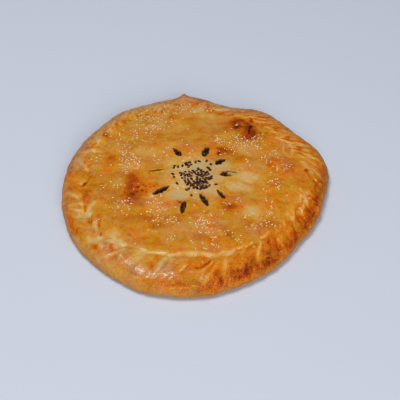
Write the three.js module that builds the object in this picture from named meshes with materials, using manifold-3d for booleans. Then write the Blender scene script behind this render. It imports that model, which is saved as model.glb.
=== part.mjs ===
// A round, closed meat pie baked as one piece: a flat foot, a full low side, a
// twisted rope edge where the bottom dough is folded over the lid, a gently
// domed lid with baked blisters, and a ring of radial snips that vent the steam.
// Millimetres, +Z up. The origin is the middle of the pie's box on the surface
// it stands on; -Y is the side that faces the viewer.
import * as THREE from "three";
import { mergeVertices } from "three/addons/utils/BufferGeometryUtils.js";
import Module from "manifold-3d";

// ---------------------------------------------------------------- sizes, mm
const PIE_RADIUS = 148.5; // mean radius of the hand-formed outline
// how far the outline wanders from a circle: [lobes, cosine part, sine part]
const OUTLINE = [
  [1, -4.32, -1.46],
  [2, 0.36, 2.65],
  [3, 3.28, 2.3],
  [4, 1.26, 1.71],
  [5, -0.24, 0.48],
  [7, 0.92, 0.2],
  [8, 0.24, 0.72],
  [9, -0.62, 1.04],
  [10, -0.92, -0.28],
  [11, -0.08, -0.32],
  [12, 0.09, 0.38],
];
const RIM_WIDTH = 30.5; // rope edge, from the crease to the outline
// how its width changes around the pie: [lobes, cosine part, sine part]
const RIM_SWELL = [
  [1, -1.7, -0.4],
  [2, -3.5, 3.0],
  [3, -0.5, 3.4],
  [4, 0.7, 1.0],
  [5, -1.4, 0.1],
  [6, -0.8, 0.6],
];
// cross-section of the edge: [inset from the outline, height], crease to foot
const RIM_SECTION = [
  [33.0, 22.6],
  [29.0, 24.4],
  [23.5, 25.6],
  [16.5, 25.0],
  [9.2, 21.6],
  [3.4, 16.2],
  [0.4, 10.4],
  [0.8, 5.0],
  [3.8, 1.3],
  [9.0, 0.0],
];
// where the valleys between the rope's folds cross the crest, in degrees
const VALLEYS = [
  0, 7, 14, 21, 27, 33, 39.5, 46, 53, 60, 67.5, 75, 83, 91, 99, 107, 115, 123.5,
  132, 141, 150, 158.5, 167, 176, 185, 194, 203, 213, 225, 234.5, 243, 251, 263,
  274, 284.5, 294, 302, 311, 319, 327, 333.5, 340, 347, 353.5,
];
const FOLD_LEAN = 14; // degrees that a valley turns on its way from crease to side
// how that lean changes around the pie: [lobes, cosine part, sine part]
const LEAN_SWELL = [
  [1, 2.7, 2.2],
  [2, 1.5, 4.2],
];
const FOLD_HEIGHT = 2.6; // how far a fold stands out of the valleys
const FOLD_SCALLOP = 2.4; // how far a fold's tip reaches over the lid
const LID_EDGE = 25.6; // lid height beside the crease
const LID_DOME = 4.6; // rise of the lid from there to the middle
const CREASE_DEPTH = 3.0;
const CREASE_REACH = 5.5;
const CENTRE_DIP = 1.0; // shallow dip under the patch of dark seeds
// slow lumps that the filling makes: [height, wavelength, direction deg, phase]
const LUMPS = [
  [0.7, 74, 20, 0.4],
  [0.6, 58, 105, 1.9],
  [0.45, 41, 63, 3.3],
  [0.4, 47, 150, 5.1],
  [0.25, 29, 0, 2.2],
  [0.25, 31, 88, 4.0],
];
// baked blisters: [x, y, half-length, half-width, turn deg, height]
const BLISTERS = [
  [-70, -9, 16, 10, 80, 2.2],
  [-67, -35, 15, 9, 5, 1.8],
  [49, 85, 14, 9, 10, 2.2],
  [63, 70, 17, 10, 80, 2.6],
  [32, 39, 11, 7, -5, 1.6],
  [36, -48, 11, 8, -10, 1.8],
  [-97, 28, 7, 6, 0, 1.0],
  [52, 26, 8, 6, 0, 0.8],
];
// steam snips: [x, y, length, width, turn deg]
const SNIPS = [
  [-22.0, 35.9, 16.4, 4.8, -54],
  [11.6, 35.5, 18.2, 6.8, 73],
  [27.9, 18.2, 15.8, 5.6, 44],
  [37.2, 0.0, 22.5, 6.8, 13],
  [27.3, -31.2, 16.5, 4.4, -57.5],
  [8.3, -38.5, 22.0, 5.4, -65],
  [-13.4, -49.2, 20.5, 5.4, 82],
  [-38.3, -25.4, 23.2, 5.2, 38.5],
  [-44.3, 6.0, 17.5, 2.6, 9],
];
const SNIP_DEPTH = 5.0;
// pinched end of the rope edge, a small nub: place deg, spread deg, out, up
const NUB = { at: 96.3, spread: 2.6, out: 3.2, up: 2.6 };

// mesh fineness: points across each fold, and rings from the crease to the foot
const FOLD_STEPS = 6;
const RIM_STOPS = [0, 0.06, 0.14, 0.23, 0.33, 0.43, 0.54, 0.65, 0.76, 0.88, 1];

// ------------------------------------------------------------ form functions
const TAU = Math.PI * 2;
const rad = (deg) => (deg * Math.PI) / 180;
const clamp01 = (x) => Math.min(1, Math.max(0, x));
const smooth = (a, b, x) => {
  const t = clamp01((x - a) / (b - a));
  return t * t * (3 - 2 * t);
};
const waves = (list, th) =>
  list.reduce((s, [k, a, b]) => s + a * Math.cos(k * th) + b * Math.sin(k * th), 0);
const chance = (i) => {
  const x = Math.sin(i * 12.9898 + 4.1414) * 43758.5453;
  return x - Math.floor(x);
};

const outline = (th) => PIE_RADIUS + waves(OUTLINE, th);
const rimWidth = (th) => RIM_WIDTH + waves(RIM_SWELL, th);
const rimTall = (th) =>
  1 + 0.035 * Math.sin(2 * th + 0.9) + 0.03 * Math.sin(5 * th + 2.4);

// Place p counts the folds from the first valley on. A valley leans: it runs
// outwards from the crease as it turns clockwise, so its angle depends on s.
const leanShare = (s) => 1 - Math.pow(1 - Math.min(s, 0.85) / 0.85, 1.5);
function angleAt(p, s) {
  const count = VALLEYS.length;
  const turns = Math.floor(p / count);
  const at = p - turns * count;
  const i = Math.min(Math.floor(at), count - 1);
  const next = i + 1 < count ? VALLEYS[i + 1] : 360 + VALLEYS[0];
  const crest = rad(VALLEYS[i] + (at - i) * (next - VALLEYS[i])) + turns * TAU;
  const lean = rad(FOLD_LEAN + waves(LEAN_SWELL, crest));
  return crest - lean * (leanShare(s) - leanShare(0.35));
}

// One fold across its width, about 0 on average: its back stands up, the valleys
// beside it lie low, one side is steeper. Narrow folds are lower.
function fold(p) {
  const count = VALLEYS.length;
  const i = ((Math.floor(p) % count) + count) % count;
  const broad = (i + 1 < count ? VALLEYS[i + 1] : 360 + VALLEYS[0]) - VALLEYS[i];
  const own = (0.8 + 0.4 * chance(i)) * Math.min(1, broad / 9.5);
  const u = Math.pow(p - Math.floor(p), 0.85);
  return own * (0.4 - Math.pow(Math.abs(2 * u - 1), 2.2));
}

// The rim's cross-section as a smooth curve with even steps.
const section = new THREE.CatmullRomCurve3(
  RIM_SECTION.map(([inset, z]) => new THREE.Vector3(inset, 0, z)),
  false,
  "catmullrom",
  0.5,
);
section.arcLengthDivisions = 600;

// A point of the rope edge at place p: s runs from the crease (0) over the rope
// to the foot (1).
function rimPoint(p, s) {
  const th = angleAt(p, s);
  const at = section.getPointAt(s);
  const along = section.getTangentAt(s);
  const wide = rimWidth(th) / RIM_SECTION[0][0];
  const upper = smooth(0.5, 0, s); // the upper part takes most of a change in width
  let rho = outline(th) - at.x * (1 + (wide - 1) * (0.35 + 0.65 * upper));
  let z = at.z * (1 + (rimTall(th) - 1) * smooth(0, 12, at.z));
  const away = ((th - rad(NUB.at) + Math.PI * 5) % TAU) - Math.PI;
  const stand =
    FOLD_HEIGHT * smooth(0, 0.2, s) * (1 - smooth(0.55, 0.8, s)) * fold(p) *
    (1 - 0.8 * Math.exp(-((away / rad(6)) ** 2)));
  rho -= along.z * stand + FOLD_SCALLOP * (1 - smooth(0, 0.5, s)) * fold(p);
  z -= along.x * stand;
  const pinch =
    Math.exp(-Math.abs(away) / rad(NUB.spread)) *
    smooth(0.1, 0.38, s) *
    (1 - smooth(0.55, 0.8, s));
  rho += NUB.out * pinch;
  z += NUB.up * pinch;
  return new THREE.Vector3(rho * Math.cos(th), rho * Math.sin(th), Math.max(0, z));
}

// Height of the lid at a point, q being its share of the way to the crease.
function lidHeight(x, y, q, th) {
  const crease = CREASE_DEPTH * Math.exp(-Math.pow(((1 - q) * 112) / CREASE_REACH, 1.5));
  let z = LID_EDGE * (1 + (rimTall(th) - 1) * q * q) + LID_DOME * (1 - Math.pow(q, 2.2));
  z -= crease + CENTRE_DIP * Math.exp(-(x * x + (y + 4) * (y + 4)) / (24 * 24));
  const calm = 1 - Math.pow(q, 6);
  for (const [h, wavelength, turn, phase] of LUMPS)
    z +=
      calm *
      h *
      Math.sin(
        (TAU / wavelength) * (x * Math.cos(rad(turn)) + y * Math.sin(rad(turn))) + phase,
      );
  for (const [bx, by, a, b, turn, h] of BLISTERS) {
    const c = Math.cos(rad(turn));
    const n = Math.sin(rad(turn));
    const u = ((x - bx) * c + (y - by) * n) / a;
    const v = (-(x - bx) * n + (y - by) * c) / b;
    z += h * Math.max(0, 1 - u * u - v * v) ** 2;
  }
  return z;
}

// A point of the lid at place p: q runs from the middle (0) to the crease (1).
function lidPoint(p, q) {
  const th = angleAt(p, 0);
  const rho =
    q * (outline(th) - rimWidth(th)) - Math.pow(q, 9) * FOLD_SCALLOP * fold(p);
  const x = rho * Math.cos(th);
  const y = rho * Math.sin(th);
  return new THREE.Vector3(x, y, lidHeight(x, y, q, th));
}

// ------------------------------------------------------- rings to one surface
const points = [];
const faces = [];
// A ring has its points where the folds have theirs, so no fold is cut across.
const ring = (count, at) => {
  const first = points.length;
  for (let i = 0; i < count; i++) points.push(at((i / count) * VALLEYS.length));
  return { first, count };
};
const tri = (a, b, c) => faces.push(a, b, c);
// Joins an outer ring to an inner one that has as many points, or half as many.
function join(outer, inner) {
  const n = outer.count;
  const o = (i) => outer.first + (i % n);
  const k = (i) => inner.first + (i % inner.count);
  if (inner.count === n)
    for (let i = 0; i < n; i++) {
      tri(o(i), o(i + 1), k(i + 1));
      tri(o(i), k(i + 1), k(i));
    }
  else
    for (let i = 0; i < inner.count; i++) {
      tri(o(2 * i), o(2 * i + 1), k(i));
      tri(o(2 * i + 1), k(i + 1), k(i));
      tri(o(2 * i + 1), o(2 * i + 2), k(i + 1));
    }
}
function close(outer, tip) {
  const centre = points.push(tip) - 1;
  for (let i = 0; i < outer.count; i++)
    tri(outer.first + i, outer.first + ((i + 1) % outer.count), centre);
}

const SECTORS = VALLEYS.length * FOLD_STEPS;
const rim = RIM_STOPS.map((s) => ring(SECTORS, (p) => rimPoint(p, s)));
for (let i = 0; i + 1 < rim.length; i++) join(rim[i + 1], rim[i]);

let edge = rim[0];
for (const [count, stops] of [
  [SECTORS, [0.965, 0.92]],
  [SECTORS / 2, [0.86, 0.78, 0.68, 0.57, 0.46]],
  [SECTORS / 4, [0.34, 0.22, 0.11]],
])
  for (const q of stops) {
    const next = ring(count, (p) => lidPoint(p, q));
    join(edge, next);
    edge = next;
  }
close(edge, new THREE.Vector3(0, 0, lidHeight(0, 0, 0, 0)));

// The flat foot, drawn the same way and then turned to face down.
const topFaces = faces.splice(0);
edge = rim[rim.length - 1];
for (const [count, share] of [
  [SECTORS / 2, 0.86],
  [SECTORS / 4, 0.62],
  [SECTORS / 8, 0.3],
]) {
  const next = ring(count, (p) => {
    const th = angleAt(p, 1);
    const r = (outline(th) - RIM_SECTION.at(-1)[0]) * share;
    return new THREE.Vector3(r * Math.cos(th), r * Math.sin(th), 0);
  });
  join(edge, next);
  edge = next;
}
close(edge, new THREE.Vector3(0, 0, 0));
const footFaces = faces.splice(0);
for (let i = 0; i < footFaces.length; i += 3)
  [footFaces[i + 1], footFaces[i + 2]] = [footFaces[i + 2], footFaces[i + 1]];

const loaf = new THREE.BufferGeometry().setFromPoints(points);
loaf.setIndex([...topFaces, ...footFaces]);
loaf.computeBoundingBox();
const middle = loaf.boundingBox.getCenter(new THREE.Vector3());

// ------------------------------------------------------------ cut the snips
const wasm = await Module();
wasm.setup();
function solid(geometry) {
  const plain = geometry.clone();
  for (const name of ["normal", "uv"]) plain.deleteAttribute(name);
  const merged = mergeVertices(plain, 1e-4);
  return new wasm.Manifold(
    new wasm.Mesh({
      numProp: 3,
      vertProperties: new Float32Array(merged.attributes.position.array),
      triVerts: new Uint32Array(merged.index.array),
    }),
  );
}

// A snip is a leaf-shaped slot, pointed at both ends.
function snip([x, y, length, width, turn]) {
  const leaf = new THREE.Shape();
  leaf.moveTo(-length / 2, 0);
  leaf.quadraticCurveTo(0, -width, length / 2, 0);
  leaf.quadraticCurveTo(0, width, -length / 2, 0);
  const top = lidHeight(x, y, Math.hypot(x, y) / 115, Math.atan2(y, x));
  return new THREE.ExtrudeGeometry(leaf, {
    depth: SNIP_DEPTH + 12,
    bevelEnabled: false,
    curveSegments: 5,
  })
    .rotateZ(rad(turn))
    .translate(x, y, top - SNIP_DEPTH);
}

let pie = solid(loaf);
for (const cut of SNIPS) pie = pie.subtract(solid(snip(cut)));

const made = pie.getMesh();
const place = new Float32Array(made.numVert * 3);
for (let i = 0; i < made.numVert; i++)
  for (let k = 0; k < 3; k++)
    place[i * 3 + k] = made.vertProperties[i * made.numProp + k];
const crust = new THREE.BufferGeometry();
crust.setAttribute("position", new THREE.BufferAttribute(place, 3));
crust.setIndex(new THREE.BufferAttribute(made.triVerts, 1));
crust.translate(-middle.x, -middle.y, 0);
crust.computeVertexNormals();

const chudu = new THREE.Mesh(
  crust,
  new THREE.MeshStandardMaterial({ color: 0xc9822e, roughness: 0.45, metalness: 0 }),
);
chudu.name = "chudu";

const part = new THREE.Group();
part.add(chudu);
export default part;
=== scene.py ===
"""A round, closed, baked meat pie: crust with a twisted rope edge, steam snips,
sesame seeds over the lid and a patch of dark seeds in the middle."""

import math

import bpy
import numpy as np
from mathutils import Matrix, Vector
from mathutils.bvhtree import BVHTree
from mathutils.geometry import delaunay_2d_cdt


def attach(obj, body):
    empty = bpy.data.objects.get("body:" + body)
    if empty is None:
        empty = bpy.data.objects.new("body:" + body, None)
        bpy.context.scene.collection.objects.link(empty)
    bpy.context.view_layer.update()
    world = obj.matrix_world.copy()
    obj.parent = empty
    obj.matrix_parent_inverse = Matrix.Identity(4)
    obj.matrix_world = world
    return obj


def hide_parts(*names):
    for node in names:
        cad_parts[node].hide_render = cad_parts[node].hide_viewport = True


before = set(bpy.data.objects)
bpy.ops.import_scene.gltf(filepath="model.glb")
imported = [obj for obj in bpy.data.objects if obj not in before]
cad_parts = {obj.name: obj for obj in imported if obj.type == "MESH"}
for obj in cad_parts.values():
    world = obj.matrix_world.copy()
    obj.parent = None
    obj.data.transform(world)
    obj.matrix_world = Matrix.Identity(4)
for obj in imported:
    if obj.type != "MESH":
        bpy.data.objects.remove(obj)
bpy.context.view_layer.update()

# ------------------------------------------------------------------ sizes, mm
# The same form as the solid's: x to the right, y away from the viewer, z up.
SHIFT = (-0.397, 1.241)  # the solid's box is centred on the origin
PIE_RADIUS = 148.5
OUTLINE = [
    (1, -4.32, -1.46), (2, 0.36, 2.65), (3, 3.28, 2.3), (4, 1.26, 1.71),
    (5, -0.24, 0.48), (7, 0.92, 0.2), (8, 0.24, 0.72), (9, -0.62, 1.04),
    (10, -0.92, -0.28), (11, -0.08, -0.32), (12, 0.09, 0.38),
]
RIM_WIDTH = 30.5
RIM_SWELL = [
    (1, -1.7, -0.4), (2, -3.5, 3.0), (3, -0.5, 3.4), (4, 0.7, 1.0),
    (5, -1.4, 0.1), (6, -0.8, 0.6),
]
RIM_SECTION = np.array([
    (33.0, 22.6), (29.0, 24.4), (23.5, 25.6), (16.5, 25.0), (9.2, 21.6),
    (3.4, 16.2), (0.4, 10.4), (0.8, 5.0), (3.8, 1.3), (9.0, 0.0),
])
# The valleys between the rope edge's folds, where they are 8 mm out from the
# crease: degrees, depth, half-width of the bottom in mm, how pale it stayed
VALLEYS = np.array([
    (4.5, 1.0, 0.8, 0.9), (9.5, 0.8, 0.6, 0.7), (14.5, 0.9, 0.7, 0.8), (20.5, 1.0, 0.8, 0.9),
    (26.0, 0.9, 0.8, 0.8), (31.0, 0.7, 0.5, 0.5), (36.0, 0.7, 0.5, 0.5), (41.5, 0.9, 0.6, 0.7),
    (47.5, 1.0, 0.6, 0.8), (53.5, 0.9, 0.5, 0.6), (61.0, 0.6, 0.4, 0.3), (70.0, 0.6, 0.6, 0.5),
    (79.5, 0.7, 0.5, 0.5), (88.0, 1.0, 1.0, 0.9), (104.0, 0.5, 0.4, 0.3), (111.0, 0.6, 0.5, 0.4),
    (119.0, 0.5, 0.4, 0.3), (127.0, 0.8, 0.5, 0.6), (134.0, 0.5, 0.4, 0.3), (141.5, 0.9, 0.5, 0.6),
    (153.5, 1.0, 0.8, 0.9), (160.5, 1.0, 1.2, 1.0), (172.0, 0.8, 0.9, 0.8), (185.5, 1.1, 0.7, 0.9),
    (196.0, 0.6, 0.5, 0.4), (207.0, 1.2, 1.8, 1.0), (214.0, 1.0, 1.0, 0.9), (223.0, 0.8, 1.0, 0.8),
    (233.0, 0.9, 0.8, 0.8), (243.0, 0.8, 2.4, 0.9), (254.0, 0.9, 1.2, 0.9), (265.0, 0.5, 0.6, 0.3),
    (275.5, 0.7, 0.5, 0.2), (285.5, 0.5, 0.5, 0.3), (294.5, 0.4, 0.4, 0.2), (303.0, 1.1, 1.2, 1.0),
    (308.5, 0.6, 0.5, 0.3), (315.5, 0.9, 0.9, 0.7), (322.5, 0.5, 0.5, 0.3), (330.0, 1.0, 2.2, 1.0),
    (337.0, 0.8, 1.2, 0.7), (343.5, 1.1, 1.2, 1.0), (349.0, 0.6, 0.6, 0.4), (354.5, 0.7, 0.5, 0.4),
    (359.5, 0.9, 0.6, 0.6),
])
# How the valleys run: degrees away from the place above, at so many mm from the
# crease, for several places round the edge
LEAN_MM = (-8, 0, 4, 8, 14, 22, 32, 46)
LEAN = [
    (10, (6.0, 5.0, 2.6, 0, -2.6, -4.0, -5.0, -6.0)),
    (30, (-4.0, 3.0, 2.6, 0, -3.6, -5.5, -7.0, -8.0)),
    (60, (2.0, 4.5, 2.6, 0, -3.0, -5.0, -7.0, -8.0)),
    (90, (5.5, 3.2, 1.6, 0, -2.2, -4.5, -6.5, -8.0)),
    (130, (4.0, 2.8, 1.5, 0, -2.4, -4.6, -6.5, -8.0)),
    (155, (2.0, 2.4, 1.4, 0, -2.2, -4.5, -6.5, -8.0)),
    (172, (-5.0, -3.0, -1.0, 0, -1.0, -3.5, -6.5, -9.0)),
    (185, (-8.0, -6.0, -2.6, 0, -2.0, -5.0, -8.0, -10.0)),
    (205, (-8.0, -4.5, -2.0, 0, -0.6, -3.8, -7.0, -9.0)),
    (216, (-6.0, -4.0, -1.8, 0, -0.5, -3.0, -6.0, -8.0)),
    (232, (1.0, 1.0, 0.6, 0, -0.8, -2.0, -4.0, -6.0)),
    (252, (1.5, 1.5, 0.8, 0, -1.0, -2.5, -4.2, -6.0)),
    (270, (2.0, 2.0, 1.0, 0, -1.2, -2.8, -4.5, -6.0)),
    (305, (3.0, 3.0, 1.6, 0, -2.0, -4.0, -6.0, -8.0)),
    (340, (5.0, 3.2, 1.5, 0, -1.8, -3.2, -4.5, -6.0)),
]
# Round the edge: degrees, how high the folds stand, from where to where they fade
# out (mm), how wrinkled they are, how deep the crease beside the lid is
ROUND = [
    (0, 0.55, 16, 32, 1.0, 0.35), (20, 0.38, 14, 28, 1.0, 0.15), (45, 0.34, 12, 24, 1.0, 0.08),
    (70, 0.22, 10, 22, 0.8, 0.05), (100, 0.12, 10, 21, 0.7, 0.03), (130, 0.16, 10, 21, 0.8, 0.03),
    (155, 0.50, 14, 27, 0.9, 0.10), (172, 0.42, 16, 30, 0.9, 0.12), (186, 0.50, 20, 34, 1.0, 0.15),
    (207, 0.80, 24, 38, 1.0, 0.12), (220, 0.65, 24, 38, 0.9, 0.08), (235, 0.60, 24, 40, 0.8, 0.15),
    (255, 0.55, 24, 42, 0.8, 0.80), (275, 0.50, 24, 42, 0.8, 1.00), (292, 0.50, 22, 40, 0.8, 0.75),
    (305, 0.85, 24, 40, 0.9, 0.70), (330, 0.85, 22, 38, 0.9, 0.60), (345, 0.80, 20, 36, 1.0, 0.55),
]
# Single creases and ridges: places (degrees round, mm out from the crease),
# half-width in mm, how much more (or less) baked, how far it stands up (or in)
MARKS = [
    ([(200.5, -6), (202, -2)], 1.3, -0.22, 0.3), ([(203, 2), (206.5, 4), (208, 7), (207.5, 12), (205.5, 18)], 1.8, -0.26, 0.7),
    # Painted highlights of the glaze: the pale spot from 197.5 to 199 degrees on this line and the pale diagonal from
    # 195 to 188 degrees on the next.
    ([(197.5, 10), (199, 12)], 1.8, -0.20, 0.3), ([(199, 10), (203, 11)], 1.2, -0.14, 0.2), ([(212.5, 2.5), (215, 6), (217.7, 9)], 1.8, -0.23, 0.5), ([(197, 25), (198.5, 17), (199.2, 11)], 1.4, -0.12, 0.4), ([(201.6, 20), (204, 11.5), (206.8, 3.5)], 1.8, -0.12, 0.5),
    ([(183, 5), (185.5, 8)], 1.2, -0.16, 0.3), ([(195, 12), (192, 18), (188, 28)], 1.8, -0.14, 0.4),
    ([(203, 15), (200, 22), (198.5, 28)], 1.0, -0.16, 0.4), ([(206, 20), (203, 25)], 0.9, -0.14, 0.3),
    # Painted highlights of the glaze: the pale marks at 219 to 222 degrees and at 225 to 226 degrees, 13 to 24 mm out.
    ([(222.3, 13), (221.8, 19), (219, 24)], 2.1, -0.32, 0.6), ([(225, 19.5), (226.2, 21.5)], 1.6, -0.24, 0.3), ([(226, 10), (229, 6.8), (233.3, 1)], 1.9, -0.20, 0.4), ([(224, -3), (227, 2), (228, 7)], 4.0, -0.22, 0.4),
    ([(230, -1.5), (233, 3)], 1.8, -0.20, 0.4), ([(234.6, 8), (233.2, 14), (231.6, 20), (230, 26.5)], 1.2, -0.25, 0.5), ([(235.5, 11), (235.3, 17)], 1.2, -0.18, 0.4),
    ([(241, 2), (244, 6), (243, 12)], 4.5, -0.17, 0.4), ([(239, -2), (244, -3)], 0.8, -0.14, 0.2),
    ([(246, -1.5), (249, -2)], 0.8, -0.14, 0.2), ([(250, -2), (255, -3.5)], 1.0, -0.22, 0.4),
    ([(254.5, 3), (254, 8), (253.8, 14), (253, 18)], 1.5, -0.24, 0.7),
    ([(257, -1), (262, -3), (267, -4), (272, -3), (277, -2), (281, 2), (285, 0), (289, 1), (291, -1)], 1.7, -0.20, 0.4),
    ([(257, 1), (258, 6)], 2.0, -0.16, 0.3), ([(278, 1), (283, 2), (288.5, 3)], 2.0, -0.14, 0.2),
    ([(237.5, 17), (240, 20), (243, 22), (247, 21), (250, 20), (253, 22), (257, 21), (261, 18)], 2.8, -0.03, 0.4),
    ([(245, 30), (249, 28), (252, 26.5)], 0.8, -0.14, 0.3), ([(260, 34), (265, 32.5), (270, 31)], 0.8, -0.12, 0.2),
    # Painted glint: the pale mark at 300.9 degrees, 4 to 7 mm out.
    ([(293, -1.5), (298, -1.5), (302, -2)], 1.1, -0.20, 0.3), ([(308, -2.5), (313, -2.5)], 0.9, -0.22, 0.3), ([(300.9, 4), (300.7, 7)], 0.8, -0.24, 0.4),
    ([(305.5, 3), (303, 10), (300.5, 17)], 2.0, -0.12, 0.4), ([(307, 1), (306.5, 9)], 1.6, -0.08, 0.3), ([(277.7, 10), (274.6, 15), (271.8, 17.9)], 1.1, -0.15, 0.4), ([(264.8, 11.9), (263.6, 15.3)], 1.2, -0.24, 0.4),
    ([(278.8, 15.3), (276, 21.3), (273.2, 28.9)], 1.6, -0.17, 0.4), ([(284.6, 9.4), (283.3, 18.7)], 1.6, -0.12, 0.3), ([(313.7, 16.2), (313.3, 26.4)], 0.9, -0.14, 0.3), ([(330.5, -1), (329, 8)], 3.4, -0.21, 0.4),
    ([(334.5, 9), (333.5, 17)], 1.8, -0.18, 0.5), ([(337, 3), (336, 15)], 1.3, -0.13, 0.3), ([(340, 2), (338.5, 13)], 1.6, -0.13, 0.3),
    ([(342, 5), (341, 16)], 1.3, -0.12, 0.3), ([(345.5, 0), (344.5, 4), (343, 9)], 1.5, -0.22, 0.5), ([(348.5, 2), (347, 8)], 1.8, -0.17, 0.5),
    # Painted glint: the pale mark at 344.3 to 345 degrees, 14.5 to 19 mm out.
    ([(344.3, 14.5), (345, 19)], 0.8, -0.26, 0.4), ([(342, -2.5), (346, -3.5)], 1.0, -0.20, 0.3), ([(348, -5), (350, -7)], 0.9, -0.14, 0.2),
    ([(323, 20), (321, 21)], 2.2, -0.12, 0.2), ([(318.5, 0), (316.5, 8)], 1.1, -0.14, 0.4), ([(322, 0), (320.5, 7)], 0.9, -0.12, 0.4), ([(325, 0), (323, 9)], 0.9, -0.10, 0.4), ([(357.8, 14), (357.5, 18)], 1.0, -0.14, 0.3), ([(1, 8), (3, 3), (8, 0), (11, -3)], 1.3, -0.12, 0.4),
    ([(4, 13), (5, 8)], 1.2, -0.10, 0.3), ([(15.5, -13), (15, -7)], 1.4, -0.14, 0.2), ([(17, -7), (22, 1), (26, 6)], 1.0, -0.14, 0.5),
    ([(20, -13), (25, -5), (28, 1)], 0.9, -0.12, 0.4), ([(16.5, -14), (21, -11), (25, -7)], 0.9, -0.10, 0.3), ([(26, 7), (30, 5), (34, 3)], 1.2, -0.18, 0.4),
    ([(32.8, 8.5), (32.8, 11.5)], 1.3, -0.26, 0.4), ([(36, 7), (41, 8), (45, 5)], 1.2, -0.16, 0.5), ([(46, 10), (50, 4), (54, 2)], 1.0, -0.12, 0.6),
    ([(49, 13), (53, 7), (57, 5)], 1.1, -0.14, 0.6), ([(52, 15), (56, 10), (60, 8)], 1.0, -0.12, 0.5), ([(60, 1), (66, 3)], 1.4, -0.14, 0.3),
    ([(72, 15), (76, 10), (79, 9)], 1.8, -0.20, 0.6), ([(79.5, -11), (80, -4)], 1.4, -0.12, 0.2), ([(90.9, -6), (88.2, -0.7), (85.5, 6)], 2.3, -0.21, 0.4), ([(99.1, -4.9), (97.1, -3.5), (94.8, 0.9)], 2.0, -0.10, 0.3), ([(77.4, 8.5), (74.6, 12.8), (71.5, 16.2)], 1.9, -0.20, 0.4), ([(112.8, 6), (112.8, 11)], 2.0, -0.12, 0.3), ([(107, 7), (105.6, 11)], 2.0, -0.16, 0.3),
    ([(152, 10), (155, 5), (157, 8)], 1.3, -0.18, 0.5), ([(171, 13.5), (172.5, 9), (176, 3)], 1.5, -0.22, 0.5), ([(163, 14), (161, 10.2), (159.2, 4)], 1.6, -0.26, 0.4), ([(160, -2), (161, 3), (159, 8)], 1.2, -0.18, 0.5),
    ([(141, 3), (140, 9)], 0.9, -0.12, 0.4), ([(127, 2), (126, 7)], 0.9, -0.12, 0.3), ([(112, 3), (110, 8)], 0.8, -0.10, 0.3),
    ([(180, -1), (184, 2), (187, 6)], 1.6, 0.16, -0.5), ([(191, -1), (194, 3), (197, 7)], 2.4, 0.12, -0.3), ([(198, 1), (201, 4), (204, 7)], 1.8, 0.14, -0.5),
    ([(212, 7), (212, 12)], 1.6, 0.20, -0.4), ([(210, -4), (213, -2), (216, 3)], 1.3, 0.16, -0.5), ([(201, 31), (203.5, 27)], 2.2, 0.15, -0.3),
    ([(206, 30.5), (211, 30)], 3.2, 0.13, -0.2), ([(223.5, 25), (226, 24.5)], 2.0, 0.12, -0.2), ([(220.9, 8.5), (222.2, 12.5)], 0.65, 0.32, -0.8), ([(228.2, 9), (229.8, 14), (230.6, 18)], 1.5, 0.18, -0.6),
    ([(251, 3), (250, 10), (252, 17)], 2.2, 0.12, -0.4), ([(265.2, 13.5), (268, 9.5)], 0.7, 0.15, -0.4), ([(280, 16.2), (280.1, 24.7), (280.7, 33)], 2.2, 0.13, -0.3),
    ([(248, 28.5), (252, 27.5)], 0.8, 0.16, -0.3), ([(276.9, 8.5), (273.4, 12.2), (270.7, 13.6)], 0.9, 0.27, -0.7), ([(282.6, 27), (283, 29)], 1.2, 0.18, -0.3), ([(311.9, 25), (311.5, 28)], 1.6, 0.14, -0.2), ([(271, 3), (278, 4)], 1.8, 0.05, -0.4),
    ([(309, 2), (309.5, 11)], 3.2, 0.12, -0.4), ([(312, 3), (311.5, 11)], 2.2, 0.09, -0.3), ([(291.5, 7.5), (291.7, 9)], 1.0, 0.24, -0.4),
    ([(303, 1), (301.8, 8)], 0.8, 0.14, -0.5), ([(338, 23), (340, 27)], 2.2, 0.12, -0.2), ([(346, 24), (346, 32)], 3.0, 0.20, -0.2),
    ([(356, 21), (358, 24)], 1.6, 0.14, -0.2), ([(334, 0), (333, 7)], 0.8, 0.05, -0.4), ([(338.8, 2), (337.5, 12)], 0.7, 0.06, -0.4),
    ([(346.8, 1), (345.6, 9)], 0.7, 0.08, -0.5), ([(17, 4), (20, 6), (22, 9)], 1.6, 0.14, -0.3), ([(28, 10), (31, 12)], 1.8, 0.16, -0.4),
    ([(40, 10), (40.5, 15)], 1.5, 0.16, -0.3), ([(55, 1.5), (56.5, 1.8)], 0.9, 0.40, -0.7), ([(66.5, 4), (67.5, 4.2)], 0.9, 0.30, -0.5),
    ([(75, 2), (76, 2.2)], 0.9, 0.30, -0.5), ([(48, 12), (52, 6), (56, 4)], 0.6, 0.12, -0.5), ([(51, 14.5), (55, 9), (59, 6.5)], 0.6, 0.12, -0.5),
    ([(4, -2), (5, -1.5)], 1.0, 0.40, -0.3), ([(147, 3), (148, 10)], 2.2, 0.14, -0.3),
    ([(34, 15), (31, 22)], 1.8, 0.13, -0.4), ([(57, -0.7), (54, -1.4)], 1.3, 0.36, -0.6), ([(53.7, 6), (49.2, 19.6)], 1.5, 0.12, -0.4),
    ([(50, -4.5), (45, 9.5)], 1.6, 0.12, -0.4), ([(27, 10), (23, 24.5)], 1.7, 0.12, -0.4), ([(18, 3.5), (16.2, 18.5)], 1.7, 0.11, -0.3),
    ([(14.6, -0.5), (11.5, 22)], 1.2, -0.09, 0.4), ([(24, 8), (20.5, 20)], 1.2, -0.08, 0.4), ([(43, 12), (39, 24)], 1.3, -0.08, 0.4),
]
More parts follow.
